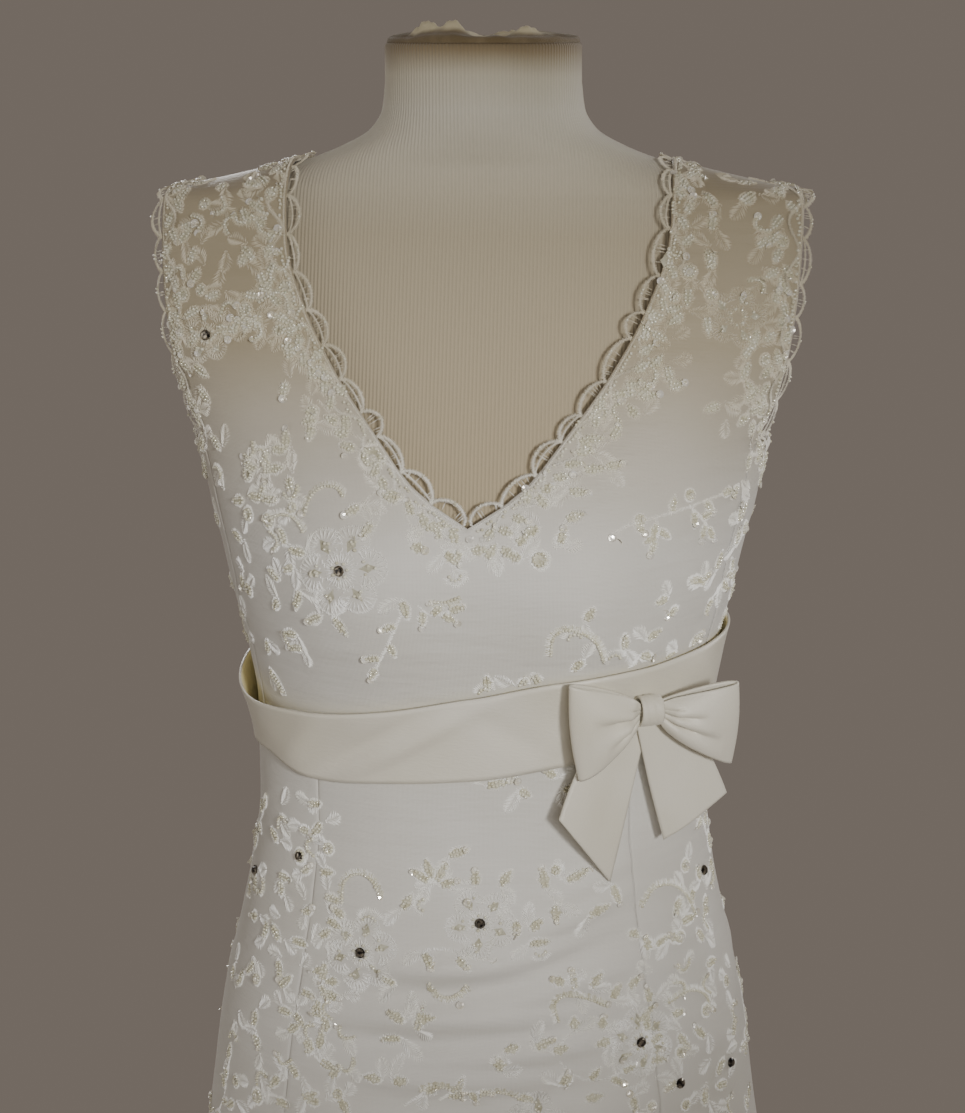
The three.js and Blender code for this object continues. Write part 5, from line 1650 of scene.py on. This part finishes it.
SKIRT_SPRIGS = [
    ((560, 1062), (575, 1078), (600, 1082), (622, 1072)),
    ((440, 1100), (455, 1090), (478, 1092)),
    ((330, 960), (318, 985), (322, 1010)),
]
SKIRT_STEMS = [
    ((426, 950), (448, 948), (470, 958), (494, 960)),
    ((404, 1106), (420, 1096), (436, 1094)),
    ((615, 1040), (612, 1070), (628, 1092), (648, 1078), (652, 1050)),
    ((556, 1050), (568, 1034), (590, 1028)),
]
SKIRT_SCROLLS = [
    ((340, 902), (340, 880), (356, 869), (374, 876), (382, 896)),
    ((428, 986), (440, 1001), (456, 1000), (468, 988)),
    ((556, 1022), (550, 1004), (562, 992), (584, 994), (608, 1004)),
    ((640, 905), (652, 884), (672, 880), (688, 892), (696, 912)),
    ((420, 1088), (440, 1082), (464, 1092)),
    ((480, 1094), (500, 1088), (520, 1096)),
    ((668, 1000), (690, 985), (708, 992), (712, 1010)),
]
SKIRT_ROSETTES = [(317, 1011, 5.5), (338, 1094, 4.5), (300, 856, 6), (556, 870, 4), (706, 1010, 5)]
SKIRT_FANS = [(369, 924, 11, 30, 150), (500, 1066, 8, 20, 160), (540, 950, 8, 220, 340)]
SKIRT_FANS += [(424, 905, 8, 100, 260)]
# Lone sequins and lone stones
SEQUINS = [
    (518, 930), (495, 962), (557, 918), (433, 966), (460, 1006), (630, 1094), (517, 781),
    (505, 776), (620, 540), (612, 538), (665, 610), (700, 640), (345, 455), (470, 540), (430, 478),
    (546, 472), (575, 452),
]
STONES = [(197, 457), (300, 856), (256, 870), (218, 995), (730, 1062), (680, 1083), (703, 870)]
# Crowded parts: left, right, top, bottom and the step between motifs, all in the photograph's pixels
CROWDED_BODICE = [
    (150, 292, 172, 330, 21), (166, 225, 330, 560, 22), (225, 335, 300, 350, 22),
    (285, 345, 345, 400, 22), (236, 300, 440, 545, 22), (668, 800, 168, 215, 21),
    (660, 715, 215, 320, 21), (752, 800, 215, 470, 20), (640, 680, 285, 400, 22),
    (715, 760, 345, 440, 22), (610, 650, 380, 440, 24), (735, 762, 470, 540, 22),
    (215, 262, 560, 650, 22),
]
CROWDED_SKIRT = [
    (225, 330, 790, 1113, 23), (672, 752, 860, 1113, 23), (330, 372, 960, 1113, 30),
    (640, 672, 960, 1113, 26),
]
# Parts that stay plain: middle, half width and half height
PLAIN = [(248, 395, 42, 52), (736, 226, 18, 22), (706, 362, 34, 40)]

# Motifs where the photograph doesn't show: angle, height
SIDE_SPRAYS = [
    (-84, 1215), (-100, 1262), (-82, 1052), (-108, 1010), (-92, 950), (-68, 870), (-112, 880),
    (82, 1215), (100, 1262), (84, 1052), (106, 1000), (90, 930), (66, 868), (112, 870), (-30, 838),
    (8, 828), (38, 826), (-50, 800), (-12, 776), (24, 762), (58, 796), (-82, 800), (86, 806),
    (-28, 716), (44, 712), (-66, 722), (80, 728), (6, 672), (-104, 770), (104, 764),
]
BACK_SPRAYS = [
    (146, 1345), (214, 1350), (150, 1292), (208, 1300), (128, 1240), (166, 1215), (236, 1258),
    (192, 1196), (222, 1200), (140, 1188), (150, 1062), (208, 1060), (128, 1020), (232, 1022),
    (176, 975), (196, 930), (148, 930), (224, 940), (132, 880), (168, 872), (204, 868), (238, 868),
    (150, 808), (186, 800), (218, 796), (128, 790), (170, 728), (204, 722), (142, 722), (234, 738),
    (184, 664),
]


# The share of leaves with thread beside them
FERN_SHARE = 0.95


def in_plain(x, y):
    return any(((x - px) / half) ** 2 + ((y - py) / high) ** 2 < 1 for px, py, half, high in PLAIN)


def photo_motifs(work, leaves, sprigs, stems, scrolls, rosettes, fans):
    for x, y, heading, length in leaves:
        if patch := photo_patch(work, x, y):
            patch.leaf(0, 0, heading, length * 1.14, 6.4, rng.random() < 0.6)
            if rng.random() < FERN_SHARE:
                patch.fern(heading + rng.choice([-1, 1]) * rng.uniform(50, 150), rng.uniform(10, 16))
    for paths, draw in ((sprigs, Patch.sprig), (stems, Patch.stem), (scrolls, Patch.scroll)):
        for path in paths:
            patch = photo_patch(work, *path[len(path) // 2])
            places = photo_path(patch, path) if patch else []
            if len(places) > 1:
                draw(patch, places)
    for x, y, radius in rosettes:
        if patch := photo_patch(work, x, y):
            patch.rosette(radius)
    for x, y, radius, first, last in fans:
        if patch := photo_patch(work, x, y):
            patch.fan(radius, first, last)


def crowd(work, boxes):
    """Fills the crowded parts with leaves, curls, rounds and loose stitches."""
    for left, right, top, bottom, step in boxes:
        for y in np.arange(top + step / 2, bottom, step):
            for x in np.arange(left + step / 2, right, step):
                spot = (x + rng.normal(0, step * 0.14), y + rng.normal(0, step * 0.14))
                patch = None if in_plain(*spot) else photo_patch(work, *spot)
                if patch is None:
                    continue
                kind, heading = rng.random(), rng.uniform(0, 360)
                if kind < 0.62:
                    patch.leaf(-3, -2, heading, rng.uniform(10, 14), 6.2, rng.random() < 0.5)
                elif kind < 0.74:
                    patch.rosette(rng.uniform(4, 6))
                elif kind < 0.88:
                    turn = math.radians(heading)
                    bend = np.array([[-6, -3], [-3, 3], [3, 4], [6, -1]])
                    ahead = towards_turn(turn)
                    spin = np.array([ahead, [-ahead[1], ahead[0]]])
                    patch.scroll(bend @ spin, 3.4)
                patch.fern(heading + rng.uniform(70, 290), rng.uniform(9, 14))


def sprays(work, places):
    for angle, z in places:
        seat = seat_at(angle, z)
        if seat:
            Patch(work, seat, rng.uniform(0, 360)).spray(rng.uniform(0.85, 1.1))


def flower_seat(x, z, side):
    away = np.array([0, side, 0.0])
    hit, normal, _, _ = COVER.ray_cast(Vector((x, side * 600, z)), Vector(-away))
    return np.array(hit), np.array(normal)


# The scalloped edges
SCALLOP_PITCH = 23
SCALLOP_CREST = 8.6
SECOND_CORD_SHARE = 0.35
LOOP_SQUARE = 0.55
BARS = 5
EDGE_STEP = 0.5


def sampled(place, u, v):
    """Points and outward normals of a surface given by two numbers."""
    u, v = np.broadcast_arrays(np.asarray(u, float), np.asarray(v, float))
    points = place(u, v)
    step = 0.01
    across = place(np.minimum(u + step, 1), v) - place(np.maximum(u - step, 0), v)
    up = place(u, np.minimum(v + step, 1)) - place(u, np.maximum(v - step, 0))
    normals = unit(np.cross(across, up))
    outward = points - np.stack([0 * points[:, 0], 12 + 0 * points[:, 1], points[:, 2] - 80], -1)
    sense = np.sign((normals * outward).sum(-1))[:, None]
    return points, normals * sense


def edge_curves():
    """Each edge on the +X side: its points, normals and the place that its loops reach towards."""
    share = np.linspace(0, 1, 160)
    neck_front = sampled(front_strap.point, 0, mix(0.004, 0.985, share))
    neck_back = sampled(back_strap.point, 0, mix(0.06, 0.985, share))
    corner = front_strap.share_at(np.array(float(ARMHOLE_CORNER_Z)))

    def back_low(u, v):
        z = mix(ARMHOLE_CORNER_Z, BACK_NECK_Z, v)
        return dress.beside(back_strap.outer(z) * (0.9 + 0.1 * u), z, BACK)

    parts = [
        sampled(front_strap.point, 1, mix(0.985, corner, share)),
        sampled(side_point, mix(0.02, 0.98, share), 1),
        sampled(back_low, 1, mix(0.02, 0.98, share)),
        sampled(back_strap.point, 1, mix(0.02, 0.985, share)),
    ]
    armhole = tuple(np.concatenate([part[k] for part in parts]) for k in (0, 1))
    return {
        "lace_neck_front": (neck_front, np.array([0, -60, 1400])),
        "lace_neck_back": (neck_back, np.array([0, 10, 1470])),
        "lace_armhole": (armhole, np.array([240, 20, 1385])),
    }


class Edge:
    """Places beside a panel's edge: how far along it, how far past it and how high off the cloth."""

    def __init__(self, points, normals, towards):
        both = even_steps(points, EDGE_STEP)
        steps = np.linalg.norm(np.diff(points, axis=0), axis=1)
        lengths = np.concatenate([[0], np.cumsum(steps)])
        self.length = lengths[-1]
        self.goals = np.linspace(0, self.length, len(both))
        self.points = both
        soft = np.ones(9) / 9
        normal = np.stack([np.interp(self.goals, lengths, normals[:, k]) for k in range(3)], -1)
        ahead = np.gradient(both, axis=0)
        padded = [np.pad(block, ((4, 4), (0, 0)), mode="edge") for block in (normal, ahead)]
        smooth = [[np.convolve(block[:, k], soft, "valid") for k in range(3)] for block in padded]
        normal, ahead = (unit(np.stack(columns, -1)) for columns in smooth)
        off = unit(np.cross(normal, ahead))
        sense = np.sign(((towards - both) * off).sum(-1))[:, None]
        self.normal, self.ahead, self.off = normal, ahead, off * sense

    def blend(self, block, along):
        return np.stack([np.interp(along, self.goals, block[:, k]) for k in range(3)], -1)

    def place(self, along, past, lift):
        past = np.asarray(past)[..., None]
        along = np.asarray(along, float)
        point, off, normal = (self.blend(block, along) for block in (self.points, self.off, self.normal))
        return point + off * past + normal * lift


def lace_edge(work, edge):
    """Uneven loops off the edge, a second cord and thin bars inside them, beads and leaves on the cloth."""
    count = max(1, round(edge.length / SCALLOP_PITCH))
    even = edge.length / count
    feet = np.arange(count + 1) * even
    feet[1:-1] += rng.uniform(-0.16, 0.16, count - 1) * even
    for start, end in zip(feet[:-1], feet[1:]):
        wide, crest = end - start, SCALLOP_CREST * rng.uniform(0.72, 1.12)
        rows = [(crest, 3.0)]
        if rng.random() < SECOND_CORD_SHARE:
            rows.append((crest * rng.uniform(0.4, 0.6), 1.9))
        for height, thick in rows:
            share = np.linspace(0, 1, 40)
            past = 0.4 + (height - 1.2) * np.sin(math.pi * share) ** LOOP_SQUARE
            path = np.stack([start + wide * share, past], -1)
            cord(work, edge, even_steps(path, 0.8), thick, CLOTH * 0.7)
        for share in rng.uniform(0.15, 0.85, BARS):
            top = (crest - 1.4) * math.sin(math.pi * share) ** LOOP_SQUARE
            bar = np.array([[start + wide * share, 0.2], [start + wide * (0.5 + (share - 0.5) * 1.25), top]])
            first, last = edge.place(*bar[0], CLOTH * 0.6), edge.place(*bar[1], CLOTH * 0.6)
            work.stitch(first, last, edge.blend(edge.normal, bar[0, 0]), 0.55, 0.4)
        for shift in (-2.4, 0, 2.4):
            if rng.random() < 0.6:
                place = edge.place((start + end) / 2 + shift, crest - 0.9, CLOTH * 0.7 + 0.3)
                work.mark("bead", place, edge.blend(edge.normal, (start + end) / 2), BEAD_RADIUS * 0.85)
    along = np.arange(0, edge.length, 0.9)
    base = np.stack([along, np.full(len(along), -1.4)], -1)
    cord(work, edge, even_steps(base, 1.1), 2.0, CLOTH + 0.1)
    wave = np.stack([along, -6.5 - 4.2 * np.sin(2 * math.pi * along / (even * 1.37) + 0.6)], -1)
    cord(work, edge, even_steps(wave, 0.85), 3.4, CLOTH + 0.1)
    for start in np.arange(2, edge.length - 2, 2.3):
        if rng.random() < 0.75:
            place = edge.place(start, -3.8 + rng.normal(0, 0.6), CLOTH + 0.05)
            work.mark("bead", place, edge.blend(edge.normal, start), BEAD_RADIUS)
    for start in np.arange(5, edge.length - 4, 9.5):
        normal = edge.blend(edge.normal, start)
        patch = Patch(work, (edge.place(start, -9 - rng.uniform(0, 4), CLOTH), normal))
        ahead = patch.local(patch.point + edge.blend(edge.ahead, start))
        heading = math.degrees(math.atan2(ahead[1], ahead[0])) + rng.choice([-1, 1]) * rng.uniform(15, 55)
        patch.leaf(-3, 0, heading, rng.uniform(10, 13), 6, rng.random() < 0.5)


def cord(work, edge, path, width, lift):
    """A cord covered with stitches, along a path beside an edge."""
    ahead = unit(np.gradient(path, axis=0))
    across = np.stack([-ahead[:, 1], ahead[:, 0]], -1)
    lean = rng.normal(0, 0.12, (len(path), 1))
    reach = width / 2 * rng.uniform(0.8, 1.2, (len(path), 1))
    first = path - (across + ahead * lean) * reach
    last = path + (across + ahead * lean) * reach
    normals = edge.blend(edge.normal, path[:, 0])
    for a, b, normal in zip(edge.place(*first.T, lift), edge.place(*last.T, lift), normals):
        work.stitch(a, b, normal, 0.9, 0.8)
    core = edge.place(path[:, 0], path[:, 1], lift - 0.15)
    for a, b, normal in zip(core[:-2:2], core[2::2], normals[::2]):
        work.stitch(a, b, normal, 1.1, 0.45)


def make_lace():
    """Every piece of lace: the edges, the larger flowers and the sprays between them."""
    made = {}
    for name, ((points, normals), towards) in edge_curves().items():
        for label, sense in (("right", 1), ("left", -1)):
            flip = np.array([sense, 1, 1])
            work = Work(f"{name}_{label}_thread")
            lace_edge(work, Edge(points * flip, normals * flip, towards * flip))
            made[f"{name}_{label}"] = finish_piece(work.make(), "lace", f"{name}_{label}")
    for name, x, z, side, radius, petals, turn, stone in FLOWERS:
        work = Work(name + "_thread")
        Patch(work, flower_seat(x, z, side), turn).flower(radius, petals, stone)
        made[name] = finish_piece(work.make(), "lace", name)
    bodice, skirt = Work("beadwork_bodice"), Work("beadwork_skirt")
    photo_motifs(
        bodice, BODICE_LEAVES, BODICE_SPRIGS, BODICE_STEMS, BODICE_SCROLLS, BODICE_ROSETTES, BODICE_FANS
    )
    crowd(bodice, CROWDED_BODICE)
    photo_motifs(skirt, SKIRT_LEAVES, SKIRT_SPRIGS, SKIRT_STEMS, SKIRT_SCROLLS, SKIRT_ROSETTES, SKIRT_FANS)
    crowd(skirt, CROWDED_SKIRT)
    for kind, spots, radius in (("sequin", SEQUINS, SEQUIN_RADIUS), ("stone", STONES, STONE_RADIUS)):
        for x, y in spots:
            if seat := seat_by_ray(x, y):
                skirt.mark(kind, *seat, radius)
    sides, back = Work("beadwork_sides"), Work("beadwork_back")
    sprays(sides, SIDE_SPRAYS)
    sprays(back, BACK_SPRAYS)
    for work in (bodice, skirt, sides, back):
        made[work.name] = finish_piece(work.make(), "lace")
    return made


def cloth_cover():
    """The outer sides of the panels, then of the sash, for laying lace on them."""
    points, faces, start = [], [], 0
    for block, quads in [*PANELS, *SASH_SIDES]:
        points.append(block)
        faces.append(quads + start)
        start += len(block)
    return BVHTree.FromPolygons(np.concatenate(points).tolist(), np.concatenate(faces).tolist())


make_camera()
make_stage()
cloth = make_panels()
cloth["sash"] = make_sash()
cloth |= make_bow()
make_form()
make_gather()
make_stand()
make_buttons()
COVER = cloth_cover()
CLOTH_FACES = sum(len(faces) for _, faces in PANELS)
trims = make_lace()
